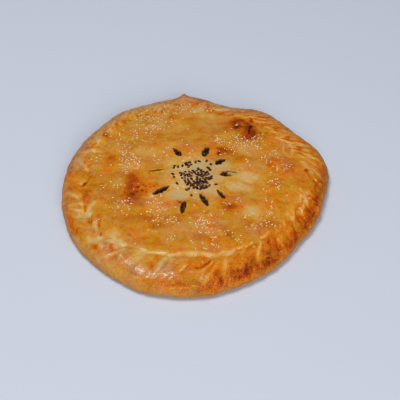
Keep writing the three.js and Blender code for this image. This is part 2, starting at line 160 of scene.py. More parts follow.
# Where the glaze shines: places, half-width, how much
GLAZED = [
    ([(240, 19), (243, 22.5), (247, 23.5), (250, 23), (253, 21.5), (255, 17), (256.5, 13), (257.5, 18), (260, 20.5)], 5.0, 1.2),
    ([(222.3, 13), (221.8, 19), (219, 24)], 2.8, 0.9), ([(225, 19.5), (226.2, 21.5)], 2.0, 0.9), ([(231.5, 20), (230, 25)], 2.4, 0.8), ([(263.5, 13), (264.5, 14)], 1.6, 1.0),
    ([(267, 16), (268, 17)], 1.6, 1.0), ([(309, 30), (310.5, 30.5)], 1.6, 1.0), ([(300.9, 3), (300.6, 7.5)], 1.2, 0.8),
    ([(344.3, 14.5), (345, 19)], 1.2, 0.8), ([(206, 4), (208, 8)], 2.4, 0.8), ([(198, 10), (198.5, 13)], 2.4, 0.8),
    ([(195, 12), (189, 27)], 3.0, 0.6), ([(233, 9), (232.5, 15)], 2.0, 0.8), ([(235.5, 11), (235.3, 17)], 2.0, 0.9),
    ([(273, 14), (272, 30)], 2.4, 0.6), ([(250, -2), (255, -3.5)], 2.0, 0.6), ([(254, 4), (252, 22)], 2.2, 0.7),
]
FOLD_HEIGHT = 2.6
FOLD_SCALLOP = 2.4
LID_EDGE = 25.6
LID_DOME = 4.6
CREASE_DEPTH = 3.0
CREASE_REACH = 5.5
CENTRE_DIP = 1.0
LUMPS = [
    (0.7, 74, 20, 0.4), (0.6, 58, 105, 1.9), (0.45, 41, 63, 3.3),
    (0.4, 47, 150, 5.1), (0.25, 29, 0, 2.2), (0.25, 31, 88, 4.0),
]
# x, y, half-length, half-width, turn, height
BLISTERS = [
    (-70, -9, 16, 10, 80, 2.2), (-67, -35, 15, 9, 5, 1.8), (49, 85, 14, 9, 10, 2.2),
    (63, 70, 17, 10, 80, 2.6), (32, 38, 11, 7, -5, 1.6), (36, -50, 11, 8, -10, 1.8),
    (-97, 28, 7, 6, 0, 1.0), (52, 24, 8, 6, 0, 0.8),
]
# x, y, length, width, turn, bend, skew (wider towards its far end)
SNIPS = [
    (-22.0, 35.9, 16.4, 6.6, -54, 0.3, 0.45),
    (11.6, 35.5, 18.2, 8.0, 73, 0.9, -0.1),
    (27.9, 18.2, 15.8, 8.2, 44, 0.9, -0.2),
    (37.2, 0.0, 22.5, 8.6, 13, 0.8, -0.35),
    (27.3, -31.2, 16.5, 5.2, -57.5, -0.3, 0.2),
    (8.3, -38.5, 22.0, 6.4, -65, 0.4, 0.1),
    (-13.4, -49.2, 20.5, 6.4, 82, 0.4, 0.15),
    (-38.3, -25.4, 23.2, 7.4, 38.5, -0.4, -0.1),
    (-44.3, 6.0, 17.5, 2.8, 9, 0.4, 0.1),
]
FLAP = 3          # this snip's far half is closed by a lip of pale dough
SNIP_DEPTH = 5.5
NUB = dict(at=96.0, spread=1.9, out=3.7, up=3.2)
FOLD_STEPS = 20


# ------------------------------------------------------------- small helpers
def smooth(a, b, x):
    t = np.clip((x - a) / (b - a), 0, 1)
    return t * t * (3 - 2 * t)


def waves(rows, th):
    return sum(a * np.cos(k * th) + b * np.sin(k * th) for k, a, b in rows)


def chance(i):
    x = np.sin(i * 12.9898 + 4.1414) * 43758.5453
    return x - np.floor(x)


_pick = np.random.RandomState(11)
_GRAD = _pick.normal(size=(256, 3))
_GRAD /= np.linalg.norm(_GRAD, axis=1)[:, None]
_PERM = _pick.permutation(256)
_PERM = np.concatenate([_PERM, _PERM])


def noise(points, size, seed=0):
    """Smooth gradient noise, about -1 to 1, with lumps of the given size in mm."""
    q = np.asarray(points, float) / size + seed * 17.371
    i = np.floor(q).astype(np.int64)
    f = q - i
    u = f * f * f * (f * (f * 6 - 15) + 10)
    i &= 255
    out = np.zeros(len(q))
    for dx in (0, 1):
        wx = u[:, 0] if dx else 1 - u[:, 0]
        for dy in (0, 1):
            wy = u[:, 1] if dy else 1 - u[:, 1]
            for dz in (0, 1):
                wz = u[:, 2] if dz else 1 - u[:, 2]
                h = _PERM[_PERM[_PERM[(i[:, 0] + dx) & 255] + ((i[:, 1] + dy) & 255)] + ((i[:, 2] + dz) & 255)]
                out += wx * wy * wz * ((f - (dx, dy, dz)) * _GRAD[h]).sum(1)
    return out * 1.7


def spline(xs, ys, x):
    """A smooth curve through the points (xs, ys), read at x."""
    xs, ys = np.asarray(xs, float), np.asarray(ys, float)
    slope = np.gradient(ys, xs)
    k = np.clip(np.searchsorted(xs, x) - 1, 0, len(xs) - 2)
    h = xs[k + 1] - xs[k]
    u = np.clip((x - xs[k]) / h, 0, 1)
    return (ys[k] * (1 + 2 * u) * (1 - u) ** 2 + slope[k] * h * u * (1 - u) ** 2
            + ys[k + 1] * u * u * (3 - 2 * u) + slope[k + 1] * h * u * u * (u - 1))


def round_value(stations, values, deg):
    s, v = np.asarray(stations, float), np.asarray(values, float)
    s = np.concatenate([s - 360, s, s + 360])
    return spline(s, np.concatenate([v, v, v]), np.asarray(deg) % 360)


def outline(th):
    return PIE_RADIUS + waves(OUTLINE, th)


def rim_width(th):
    return RIM_WIDTH + waves(RIM_SWELL, th)


def rim_tall(th):
    return 1 + 0.035 * np.sin(2 * th + 0.9) + 0.03 * np.sin(5 * th + 2.4)


def near_line(deg, mm, places, half):
    """1 on a line through places round the edge, fading out beside it."""
    at = np.array(places, float)
    middle = at[:, 0].mean()
    x = ((deg - middle + 180) % 360 - 180) * 2.35
    out = np.zeros(len(x))
    near = np.abs(x) < 1.2 * np.abs(at[:, 0] - middle).max() * 2.35 + 3 * half
    near &= (mm > at[:, 1].min() - 3 * half) & (mm < at[:, 1].max() + 3 * half)
    if near.any():
        x, y = x[near], mm[near]
        d = np.full(len(x), 1e9)
        px, py = (at[:, 0] - middle) * 2.35, at[:, 1]
        for k in range(len(at) - 1):
            dx, dy = px[k + 1] - px[k], py[k + 1] - py[k]
            t = np.clip(((x - px[k]) * dx + (y - py[k]) * dy) / (dx * dx + dy * dy), 0, 1)
            d = np.minimum(d, np.hypot(x - px[k] - t * dx, y - py[k] - t * dy))
        out[near] = np.exp(-(d / half) ** 2)
    return out


# ------------------------------------------------------------------ the folds
FOLDS = len(VALLEYS)
_ring_deg = np.concatenate([VALLEYS[:, 0] - 360, VALLEYS[:, 0], VALLEYS[:, 0] + 360])
_ring_no = np.arange(len(_ring_deg)) - FOLDS
_broad = np.diff(np.append(VALLEYS[:, 0], VALLEYS[0, 0] + 360))
_stations = [r[0] for r in ROUND]


def crest_deg(p):
    return np.interp(p, _ring_no, _ring_deg)


def around(deg, column):
    return round_value(_stations, [r[column] for r in ROUND], deg)


def angle_at(p, mm):
    """Angle of place p (counted in folds) at mm out from the crease."""
    deg = crest_deg(p)
    mm = np.array([float(np.clip(mm, LEAN_MM[0], LEAN_MM[-1]))])
    here = [float(spline(LEAN_MM, r[1], mm)[0]) for r in LEAN]
    return np.radians(deg + round_value([r[0] for r in LEAN], here, deg))


def sleek(deg):
    """1 along the front left, where the dough is smooth and glazed, else 0."""
    return np.exp(-(((deg - 234 + 180) % 360 - 180) / 46) ** 4)


def fold_no(p):
    return np.floor(p).astype(int) % FOLDS


def fold_parts(p):
    """Share of the way over the fold; depth and paleness of the nearer valley; length."""
    i = fold_no(p)
    j = (i + 1) % FOLDS
    length = np.radians(_broad[i]) * 130
    share = p - np.floor(p)
    left, right = VALLEYS[i, 2], VALLEYS[j, 2]
    u = np.clip((share * length - left) / np.maximum(1, length - left - right), 0, 1)
    t = smooth(0.3, 0.7, share)
    return u, VALLEYS[i, 1] * (1 - t) + VALLEYS[j, 1] * t, VALLEYS[i, 3] * (1 - t) + VALLEYS[j, 3] * t, length


def waver(p, mm):
    """Place p pushed a little to and fro, so that no valley runs straight."""
    c = np.radians(crest_deg(p))
    q = np.stack([138 * np.cos(c), 138 * np.sin(c), np.broadcast_to(mm, c.shape)], 1)
    return p + 0.13 * noise(q, 13, 64) + 0.05 * noise(q, 5, 65)


def fold(p, mm):
    p = waver(p, mm)
    i = fold_no(p)
    u, deep, _, _ = fold_parts(p)
    own = (0.7 + 0.6 * chance(i)) * np.minimum(1, _broad[i] / 9.0)
    u = u ** (0.7 + 0.35 * chance(i + 31))
    w = np.abs(2 * u - 1) ** (2.0 + 1.3 * chance(i + 71))
    soft = 0.35 + 0.6 * sleek(crest_deg(p))
    w = w + soft * ((0.5 + 0.5 * np.cos(2 * np.pi * u)) ** 1.3 - w)
    return 0.4 * own * (1 - w) - 0.6 * deep * w


def wrinkle(p, mm, sizes=((3.4, 15, 0.65, 61), (2.1, 9, 0.35, 62))):
    """Fine folds that run along the strands, about 3 mm wide."""
    c = np.radians(crest_deg(p))
    out = 0
    for size, long, gain, seed in sizes:
        q = np.stack([138 * np.cos(c), 138 * np.sin(c), np.broadcast_to(mm * size / long, c.shape)], 1)
        out = out + gain * noise(q, size, seed)
    return out


def fold_stand(p, mm):
    """How far the folds stand off the smooth edge, mm, at mm out from the crease."""
    deg = crest_deg(p)
    fade = smooth(-7 + 5 * sleek(deg), 7 + 5 * sleek(deg), mm) * (1 - smooth(around(deg, 2), around(deg, 3), mm))
    f = FOLD_HEIGHT * around(deg, 1) * fade * fold(p, mm)
    here, out = np.degrees(angle_at(p, mm)) % 360, np.full(len(deg), float(mm))
    for places, half, _, relief in MARKS:
        f = f + relief * near_line(here, out, places, half)
    return f + 0.5 * around(deg, 4) * wrinkle(p, mm) * smooth(-9, 3, mm) * (1 - smooth(28, 40, mm))


def section_table():
    """The rim's cross-section as a smooth curve in even steps: inset, height, slopes."""
    pts = np.vstack([2 * RIM_SECTION[0] - RIM_SECTION[1], RIM_SECTION, 2 * RIM_SECTION[-1] - RIM_SECTION[-2]])
    out = []
    for k in range(1, len(pts) - 2):
        t = np.linspace(0, 1, 60, endpoint=False)[:, None]
        a, b, c, d = pts[k - 1], pts[k], pts[k + 1], pts[k + 2]
        out.append(0.5 * (2 * b + (c - a) * t + (2 * a - 5 * b + 4 * c - d) * t * t + (3 * b - a - 3 * c + d) * t ** 3))
    curve = np.vstack(out + [RIM_SECTION[-1:]])
    length = np.concatenate([[0], np.cumsum(np.linalg.norm(np.diff(curve, axis=0), axis=1))])
    share = length / length[-1]
    even = np.linspace(0, 1, 801)
    inset, height = np.interp(even, share, curve[:, 0]), np.interp(even, share, curve[:, 1])
    di, dz = np.gradient(inset), np.gradient(height)
    n = np.hypot(di, dz)
    return even, inset, height, di / n, dz / n, length[-1]


SEC_S, SEC_I, SEC_Z, SEC_DI, SEC_DZ, SEC_LENGTH = section_table()


def nub_pinch(th, s):
    away = (th - math.radians(NUB["at"]) + math.pi) % (2 * math.pi) - math.pi
    swell = np.exp(-np.abs(away) / math.radians(NUB["spread"])) - 0.20 * np.exp(-((away - math.radians(6.0)) / math.radians(4.5)) ** 2)
    return away, swell * smooth(0.1, 0.38, s) * (1 - smooth(0.55, 0.8, s))


def rim_points(p, s):
    mm = s * SEC_LENGTH
    th = angle_at(p, mm)
    inset, z0 = np.interp(s, SEC_S, SEC_I), np.interp(s, SEC_S, SEC_Z)
    di, dz = np.interp(s, SEC_S, SEC_DI), np.interp(s, SEC_S, SEC_DZ)
    wide = rim_width(th) / RIM_SECTION[0, 0]
    upper = 1 - smooth(0, 0.5, s)
    dent = np.exp(-((np.degrees(th) % 360 - 67) / 6) ** 2) * (1 - smooth(0.5, 0.8, s)) * smooth(0, 0.1, s)
    rho = outline(th) - inset * (1 + (wide - 1) * (0.35 + 0.65 * upper)) - 1.8 * dent
    z = z0 * (1 + (rim_tall(th) - 1) * smooth(0, 12, z0)) - 1.0 * dent * smooth(0, 12, z0)
    away, pinch = nub_pinch(th, s)
    stand = fold_stand(p, mm)
    stand *= 1 - 0.8 * np.exp(-(away / math.radians(6)) ** 2)
    flat = np.stack([rho * np.cos(th), rho * np.sin(th), z], 1)
    rugged = 0.45 + 0.7 * around(crest_deg(p), 1)
    stand += rugged * (0.9 * noise(flat, 26, 1) + 0.8 * noise(flat, 10, 2) + 0.34 * noise(flat, 4.5, 3)) * smooth(0, 0.1, s) * smooth(1.0, 0.86, s)
    scallop = FOLD_SCALLOP * around(crest_deg(p), 1) * (1 - smooth(0, 0.5, s)) * fold(p, mm)
    rho = rho - dz * stand - scallop + NUB["out"] * pinch
    z = z - di * stand + NUB["up"] * pinch
    # the crease beside the lid is shallower where the lid runs into the edge
    z += (1 - around(np.degrees(th), 5)) * CREASE_DEPTH * max(0.0, 1 - mm / 13.0) ** 2
    return np.stack([rho * np.cos(th), rho * np.sin(th), np.maximum(z, 0)], 1)


# ------------------------------------------------------------------ the snips
def snip_local(k, x, y):
    sx, sy, turn = SNIPS[k][0], SNIPS[k][1], SNIPS[k][4]
    c, n = math.cos(math.radians(turn)), math.sin(math.radians(turn))
    return (x - sx) * c + (y - sy) * n, -(x - sx) * n + (y - sy) * c


def snip_mid(k, u):
    length, bend = SNIPS[k][2], SNIPS[k][5]
    return bend * (1 - (2 * u / length) ** 2) + 0.18 * np.sin(u * 1.1 + k)


def snip_half(k, u):
    """Half the width of snip k at u along it: pointed ends, a ragged edge."""
    length, width, skew = SNIPS[k][2], SNIPS[k][3], SNIPS[k][6]
    t = 2 * u / length
    w = np.maximum(0, 1 - t ** 2) ** 0.65 * (1 + skew * t)
    return width / 2 * w * (1 + 0.10 * np.sin(u * 0.9 + 2.3 * k) + 0.07 * np.sin(u * 2.3 + 5.1 * k))


def snip_distance(k, x, y):
    u, v = snip_local(k, x, y)
    half_length = SNIPS[k][2] / 2
    uc = np.clip(u, -half_length, half_length)
    side = np.abs(v - snip_mid(k, uc)) - snip_half(k, uc)
    over = np.abs(u) - half_length
    return np.where(over > 0, np.hypot(over, np.maximum(side, 0)), side)


def snip_open(k, x, y):
    """How open snip k is at x, y: 1, or less where the lip of dough closes it."""
    if k != FLAP:
        return np.ones_like(x)
    u, v = snip_local(k, x, y)
    # Along the lip's upper edge a thin line stays open, a groove that takes the cut's dark painted shade.
    edge_line = smooth(1.2, 0.3, np.abs(v - snip_mid(k, u) - snip_half(k, np.clip(u, -10, 10)) + 0.7))
    return np.maximum(1 - smooth(-2.2, 1.8, u + 0.9 * v), 0.85 * edge_line * smooth(10, 7.5, u))


# -------------------------------------------------------------------- the lid
def stroke(x, y, x0, y0, x1, y1, wide):
    """1 on a line from one point to another, fading out beside it."""
    dx, dy = x1 - x0, y1 - y0
    t = np.clip(((x - x0) * dx + (y - y0) * dy) / (dx * dx + dy * dy), 0, 1)
    d = np.hypot(x - x0 - t * dx, y - y0 - t * dy)
    return np.exp(-(d / (wide * (1.05 - 0.6 * np.abs(2 * t - 1)))) ** 2)


# cracks in the darkest blister: from, to, half-width, depth
CRACKS = [
    (65.5, 82, 62.5, 74, 1.2, 1.3), (62.5, 74, 61, 65, 1.0, 1.1), (60, 96, 64, 90, 0.9, 1.0), (64, 90, 69, 86, 0.9, 1.0),
]


def lid_height(x, y, q, th):
    crease = around(np.degrees(th), 5)
    z = LID_EDGE * (1 + (rim_tall(th) - 1) * q * q) + LID_DOME * (1 - q ** 2.2)
    z -= CREASE_DEPTH * crease * np.exp(-(np.maximum(0, 1 - q) * 112 / CREASE_REACH) ** 1.5)
    z -= CENTRE_DIP * np.exp(-(x * x + (y + 4) ** 2) / 24 ** 2)
    calm = 1 - np.clip(q, 0, 1) ** 6
    for h, wavelength, turn, phase in LUMPS:
        a = math.radians(turn)
        z += calm * h * np.sin(2 * math.pi / wavelength * (x * math.cos(a) + y * math.sin(a)) + phase)
    flat = np.stack([x, y, np.zeros_like(x)], 1)
    for bx, by, a, b, turn, h in BLISTERS:
        c, n = math.cos(math.radians(turn)), math.sin(math.radians(turn))
        u = ((x - bx) * c + (y - by) * n) / a
        v = (-(x - bx) * n + (y - by) * c) / b
        z += h * np.maximum(0, 1 - u * u - v * v) ** 2 * (1 + 0.25 * noise(flat, 6, 21))
    z += calm * (0.5 * noise(flat, 16, 5) + 0.32 * noise(flat, 7.5, 6) + 0.13 * noise(flat, 3.6, 7))
    for x0, y0, x1, y1, wide, deep in CRACKS:
        z -= deep * stroke(x, y, x0, y0, x1, y1, wide)
    cut = np.zeros_like(x)
    for k in range(len(SNIPS)):
        d = snip_distance(k, x, y)
        near = d < 6
        z[near] += 0.55 * np.exp(-((d[near] - 1.2) / 1.1) ** 2) * (d[near] > -0.2)
        depth = smooth(0.1, -0.75, d)
        opened = snip_open(k, x, y)
        cut = np.maximum(cut, depth * opened)
        z -= depth * (min(SNIP_DEPTH, 1.4 * SNIPS[k][3]) * opened + 0.8 * (1 - opened))
    return z, cut


# ----------------------------------------------------------------- build mesh
verts, faces = [], []
info = dict(mm=[], q=[], p=[], zone=[])
count = 0


def add_points(xyz, zone, p=None, mm=None, q=None):
    global count
    n = len(xyz)
    verts.append(np.asarray(xyz, float))
    info["zone"].append(np.full(n, zone))
    info["p"].append(np.zeros(n) if p is None else np.broadcast_to(p, n).astype(float))
    info["mm"].append(np.full(n, -99.0) if mm is None else np.broadcast_to(mm, n).astype(float))
    info["q"].append(np.ones(n) if q is None else np.broadcast_to(q, n).astype(float))
    first = count
    count += n
    return np.arange(first, first + n)


def join(outer, inner, turned=False):
    n, m = len(outer), len(inner)
    nxt = np.roll(inner, -1)
    if n == m:
        o1 = np.roll(outer, -1)
        t = np.concatenate([np.stack([outer, o1, nxt], 1), np.stack([outer, nxt, inner], 1)])
    else:
        a, b, c = outer[0::2], outer[1::2], np.roll(outer[0::2], -1)
        t = np.concatenate([np.stack([a, b, inner], 1), np.stack([b, nxt, inner], 1), np.stack([b, c, nxt], 1)])
    faces.append(t[:, ::-1] if turned else t)


SECTORS = FOLDS * FOLD_STEPS
P = np.arange(SECTORS) / FOLD_STEPS
stops = np.concatenate([np.linspace(0, 0.66, 44), np.linspace(0.66, 1, 14)[1:]])
rings = []
for s in stops:
    rings.append(add_points(rim_points(P, s), 0, p=P, mm=s * SEC_LENGTH))
for k in range(len(rings) - 1):
    join(rings[k + 1], rings[k])


def lid_ring(p, back):
    """A ring of the lid, so many mm in from the crease."""
    th = angle_at(p, -back)
    full = outline(th) - rim_width(th)
    share = 1 - back / 118.0
    rho = share * full - share ** 9 * FOLD_SCALLOP * around(crest_deg(p), 1) * fold(p, -back)
    x, y = rho * np.cos(th), rho * np.sin(th)
    z, _ = lid_height(x, y, np.full(len(p), share), th)
    return np.stack([x, y, z + fold_stand(p, -back)], 1), share


edge = rings[0]
back, step = 0.0, 0.7
while back + step < 52:
    back += step
    p = P if back < 12 else P[::2]
    if back > 12:
        step = min(1.25, step * 1.12)
    pts, share = lid_ring(p, back)
    ring = add_points(pts, 1, p=p, mm=-back, q=share)
    join(edge, ring)
    edge = ring

# The middle of the lid, with points that follow the snips' edges.
edge_xy = np.concatenate(verts)[edge][:, :2]
th_edge = np.arctan2(edge_xy[:, 1], edge_xy[:, 0])
order = np.argsort(th_edge)
r_edge = np.hypot(*edge_xy.T)
grid = 1.25
gx, gy = np.meshgrid(np.arange(-80, 80, grid), np.arange(-80, 80, grid * math.sqrt(3) / 2))
gx = gx + (np.arange(gx.shape[0]) % 2)[:, None] * grid / 2
gx, gy = gx.ravel(), gy.ravel()
limit = np.interp(np.arctan2(gy, gx), th_edge[order], r_edge[order], period=2 * math.pi)
keep = np.hypot(gx, gy) < limit - 0.8
for k in range(len(SNIPS)):
    keep &= snip_distance(k, gx, gy) > 2.1
inner = [np.stack([gx[keep], gy[keep]], 1)]
for k, (sx, sy, length, width, turn, bend, skew) in enumerate(SNIPS):
    c, n = math.cos(math.radians(turn)), math.sin(math.radians(turn))
    for off in (1.55, 0.95, 0.5, 0.2, 0.0, -0.2, -0.45, -0.75, -1.3, -2.0):
        u = np.linspace(-length / 2, length / 2, int(length / 0.55))[1:-1]
        h = snip_half(k, u) + off
        good = h > 0.12
        u, h = u[good], h[good]
        m = snip_mid(k, u)
        uu, vv = np.concatenate([u, u]), np.concatenate([m + h, m - h])
        if off > 0:
            a = np.linspace(-1.2, 1.2, max(3, int(off * 5)))
            for e in (-1, 1):
                uu = np.concatenate([uu, e * (length / 2 + off * np.cos(a))])
                vv = np.concatenate([vv, snip_mid(k, e * length / 2) + off * np.sin(a)])
        inner.append(np.stack([sx + uu * c - vv * n, sy + uu * n + vv * c], 1))
inner = np.concatenate(inner)
flat = [Vector((float(a), float(b))) for a, b in np.concatenate([edge_xy, inner])]
loop = list(range(len(edge)))
got = delaunay_2d_cdt(flat, [], [loop], 1, 1e-4)
got_xy = np.array([(v.x, v.y) for v in got[0]])
number = np.full(len(got_xy), -1)
for i, came in enumerate(got[3]):
    for c in came:
        if c < len(edge):
            number[i] = edge[c]
free = number < 0
fx, fy = got_xy[free, 0], got_xy[free, 1]
fth = np.arctan2(fy, fx)
fq = np.hypot(fx, fy) / (outline(fth) - rim_width(fth))
fz, _ = lid_height(fx, fy, fq, fth)
number[free] = add_points(np.stack([fx, fy, fz], 1), 1, q=fq)
tris = []
for f in got[2]:
    f = [number[i] for i in f]
    for j in range(1, len(f) - 1):
        tris.append((f[0], f[j], f[j + 1]))
tris = np.array(tris)
all_xyz = np.concatenate(verts)
a, b, c = all_xyz[tris[:, 0]], all_xyz[tris[:, 1]], all_xyz[tris[:, 2]]
up = ((b - a)[:, 0] * (c - a)[:, 1] - (b - a)[:, 1] * (c - a)[:, 0])
tris[up < 0] = tris[up < 0][:, ::-1]
faces.append(tris)

# The flat foot.
edge = rings[-1]
foot_p = P
for k, share in enumerate((0.97, 0.92, 0.84, 0.7, 0.5, 0.28)):
    if k < 2:
        foot_p = foot_p[::2]
    th = angle_at(foot_p, 55.0)
    r = (outline(th) - RIM_SECTION[-1, 0]) * share
    ring = add_points(np.stack([r * np.cos(th), r * np.sin(th), np.zeros(len(th))], 1), 2, p=foot_p, q=share)
    join(edge, ring, turned=True)
    edge = ring
tip = add_points(np.array([[0.0, 0.0, 0.0]]), 2, q=0.0)[0]
faces.append(np.stack([np.roll(edge, -1), edge, np.full(len(edge), tip)], 1))

xyz = np.concatenate(verts)
tris = np.concatenate(faces)
MM, Q, PP, ZONE = (np.concatenate(info[k]) for k in ("mm", "q", "p", "zone"))
X, Y, Z = xyz.T
TH = np.arctan2(Y, X)
DEG = np.degrees(TH) % 360
flat = np.stack([X, Y, np.zeros_like(X)], 1)
lid = ZONE == 1
rim = ZONE == 0


# --------------------------------------------------------- how baked it is
RAGGED = 1 + 0.30 * noise(flat, 9, 31) + 0.20 * noise(flat, 4, 32)


def blob(cx, cy, a, b, turn=0.0, power=2.0):
    """1 in the middle of an ellipse on the lid, fading out past its ragged edge."""
    c, n = math.cos(math.radians(turn)), math.sin(math.radians(turn))
    u = ((X - cx) * c + (Y - cy) * n) / a
    v = (-(X - cx) * n + (Y - cy) * c) / b
    return np.exp(-((u * u + v * v) / np.maximum(0.3, RAGGED) ** 2) ** (power / 2)) * (ZONE < 2) * smooth(15, 6, MM)


def arc(at, half, mm_at, mm_half):
    """1 at an angle and a place across the rope edge, fading out around it."""
    away = (DEG - at + 180) % 360 - 180
    return np.exp(-((away / half) ** 2 + ((MM - mm_at) / mm_half) ** 2) / np.maximum(0.3, RAGGED) ** 2) * (ZONE < 2)


n40, n18, n8, n4 = noise(xyz, 40, 41), noise(xyz, 18, 42), noise(xyz, 8, 43), noise(xyz, 3.6, 44)
drawn = xyz * (0.6, 1.0, 1.0)
d12, d6 = noise(drawn, 12, 45), noise(drawn, 5.5, 46)

# the lid: golden, more orange towards the front, paler towards the middle
on_lid = 0.435 + 0.04 * n40 + 0.05 * n18 + 0.06 * d12 + 0.06 * d6 + 0.05 * n4
on_lid += 0.035 * smooth(-30, -100, Y) - 0.035 * smooth(20, 90, Y)
pale = 1.0 * blob(-1, -3, 29, 28, 0, 4)
pale = np.maximum(pale, 0.95 * blob(57, -4, 14, 9, -15, 3))
pale = np.maximum(pale, 0.85 * blob(46, -19, 16, 7, -10, 4))
pale = np.maximum(pale, 0.95 * blob(-18, -31, 14, 9, 20, 3))
pale = np.maximum(pale, 0.80 * blob(61, -55, 9, 7, 0, 3))
pale = np.maximum(pale, 0.75 * blob(-49, -34, 6, 3.5, 30, 2))
pale = np.maximum(pale, 0.50 * blob(-60, 34, 15, 9, 10, 2))
pale = np.maximum(pale, 0.45 * blob(-72, 12, 9, 7, 0, 2))
pale = np.maximum(pale, 0.80 * blob(26, 9, 12, 10, 20, 2))
pale = np.maximum(pale, 0.55 * blob(-25, 22, 12, 8, 20, 2))
pale = np.maximum(pale, 0.30 * blob(60, 40, 14, 8, 0, 2))
pale = np.maximum(pale, 0.26 * blob(-28, 47, 15, 6, 0, 2))
pale = np.maximum(pale, 0.40 * blob(49, 11, 9, 6, 0, 2))
pale = np.maximum(pale, 0.40 * blob(-46, -52, 8, 6, 0, 2))
pale = np.maximum(pale, 0.70 * blob(18, -28, 8, 5, 0, 2))
pale = np.maximum(pale, 0.28 * blob(69, -35, 10, 7, 0, 2))
pale = np.maximum(pale, 0.30 * blob(-52, -11, 8, 8, 0, 2))
pale = np.maximum(pale, 0.26 * blob(-28, -86, 12, 8, 0, 2))
pale = np.maximum(pale, 0.26 * blob(-18, -101, 10, 5, 0, 2))
pale = np.maximum(pale, 0.30 * blob(22, 102, 18, 7, 0, 2))
on_lid -= 0.36 * np.clip(pale * (1 + 0.4 * d6), 0, 1.15)
for x, y, a, b, turn, much in [
    (-71, -12, 8.5, 12, 0, 0.23), (-70, -25, 11, 10, 0, 0.18), (-68, -40, 15, 6.5, -6, 0.25), (-72, -31, 5, 4, 0, 0.10),
    (-57, -27, 6, 7, 0, 0.06), (48, 85, 14, 9, 20, 0.38), (45, 78, 6, 5, 0, 0.08), (62, 71, 11, 17, 8, 0.33), (57, 62, 9, 7, 0, 0.10),
    (72, 60, 8, 6, 0, 0.12), (32, 37, 10, 6, -8, 0.40), (36, -51, 8, 6, -15, 0.26), (-97, 28, 6, 5, 0, 0.24),
    (51, 23, 7, 5, 0, 0.08), (-18, -43, 5, 5, 0, 0.16), (-12, -44, 8, 10, 0, 0.05), (25.8, 33.3, 1.6, 2.4, -20, 0.45),
    (34, -86, 11, 3, -45, 0.16), (104, 17, 8, 12, 0, 0.13), (20, 73, 22, 6, 0, 0.10),
    (8, -90, 14, 5, 0, 0.11), (75, -71, 11, 6, 20, 0.14), (-42, -76, 9, 4, 0, 0.10), (-61, 95, 7, 8, 0, 0.10),
    (-28, 100, 6, 10, 0, 0.08), (-43, 63, 7, 3.5, 0, 0.10), (-80, 52, 6, 4, 0, 0.09), (-92, -32, 9, 9, 0, 0.11),
    (-60, -69, 16, 8, 0, 0.11), (68, 72, 7, 9, 0, 0.08), (108, 8, 6, 8, 0, 0.06), (-78, 2, 30, 32, 0, 0.03), (8, -108, 15, 4, 0, 0.09), (-73, -41, 8, 5, 0, 0.09), (76, -28, 14, 10, 0, 0.05), (88, 14, 12, 14, 0, 0.05), (52, 2, 10, 6, 0, 0.06),
]:
    on_lid += much * blob(x, y, a, b, turn, 2.4)
on_lid += 0.26 * stroke(X, Y, -14, -45, -20.5, -39.5, 1.6)
for x0, y0, x1, y1, wide, deep in CRACKS:
    on_lid += 0.32 * deep * stroke(X, Y, x0, y0, x1, y1, wide * 1.2)
for x, y in [
    (-71, -31), (-68, -33), (-63, -22), (-58, -18), (-55, -20), (-59, -27), (-54, -29), (-51, -17), (-50, -22),
    (-65, -29), (-46, -20), (-43, -17),
]:
    on_lid += 0.28 * np.exp(-((X - x) ** 2 + (Y - y) ** 2) / 1.3 ** 2)

# the rope edge: brown backs, pale valleys and a pale line along the crease
PW = waver(PP, MM)
share_u, deep_v, pale_v, fold_mm = fold_parts(PW)
i_fold = fold_no(PW)
near_edge = MM > -14
strand = np.zeros_like(X)
strand[near_edge] = wrinkle(PP[near_edge], MM[near_edge]) + wrinkle(PP[near_edge], MM[near_edge], ((6.5, 20, 0.8, 66),))
on_rim = 0.465 - 0.035 * np.exp(-((DEG - 130) / 45) ** 4) - 0.04 * np.exp(-((DEG - 195) / 18) ** 4) - 0.010 * np.exp(-((DEG - 312) / 48) ** 4) * (1 - smooth(16, 26, MM)) + 0.04 * n40 + 0.06 * n18 + (0.08 * n8 + 0.08 * n4) * (1 - 0.4 * sleek(DEG)) + 0.06 * (chance(i_fold + 5) - 0.5)
deg_p = crest_deg(PP)
on_rim += 0.11 * strand * around(deg_p, 4) * (1 - 0.3 * sleek(DEG))
fade = smooth(-8, 1, MM) * (1 - smooth(around(deg_p, 2), around(deg_p, 3), MM)) * near_edge
edge_u = np.minimum(share_u, 1 - share_u) * fold_mm
broad_v = 1.5 * np.clip(1 + 1.1 * noise(xyz, 12, 53), 0.35, 2.3)
valley = np.exp(-(edge_u / broad_v) ** 2) * fade * pale_v * np.clip(0.5 + 1.1 * noise(xyz, 9, 52) + 0.5 * n4, 0, 1.2)
hump = np.sin(np.pi * share_u) * fade
front = 0.10 + 0.90 * np.exp(-(((DEG - 262 + 180) % 360 - 180) / 36) ** 4)
crease = np.where(MM > 0, np.exp(-(MM / 3.0) ** 2), np.exp(-(MM / 3.4) ** 2)) * (ZONE < 2)
crease = crease * front * np.clip(0.8 + 0.6 * n8 + 0.5 * n4, 0, 1.2)
scorch = 1.5 * arc(289, 3.2, 30, 5) + 0.35 * arc(302, 5, 32, 6) + 0.40 * arc(296, 12, 30, 6) + 0.50 * arc(312, 7, 29, 6)
scorch += 0.5 * arc(324, 7, 31, 6) + 1.2 * arc(345, 4.5, 28, 7) + 0.35 * arc(338, 4, 31, 5) + 0.5 * arc(278, 8, 32, 6)
scorch += 0.7 * arc(359, 5, 28, 6) + 0.7 * arc(6, 5, 30, 4) + 0.40 * arc(310, 4, 8, 6) + 0.15 * arc(322, 4, 14, 6) + 0.35 * arc(303, 3, 22, 5)
scorch += 0.25 * arc(207, 5, 28, 5) + 0.45 * arc(192, 4, 5, 6) + 0.5 * arc(184, 4, 4, 3) + 0.3 * arc(221, 1.0, 10, 4)
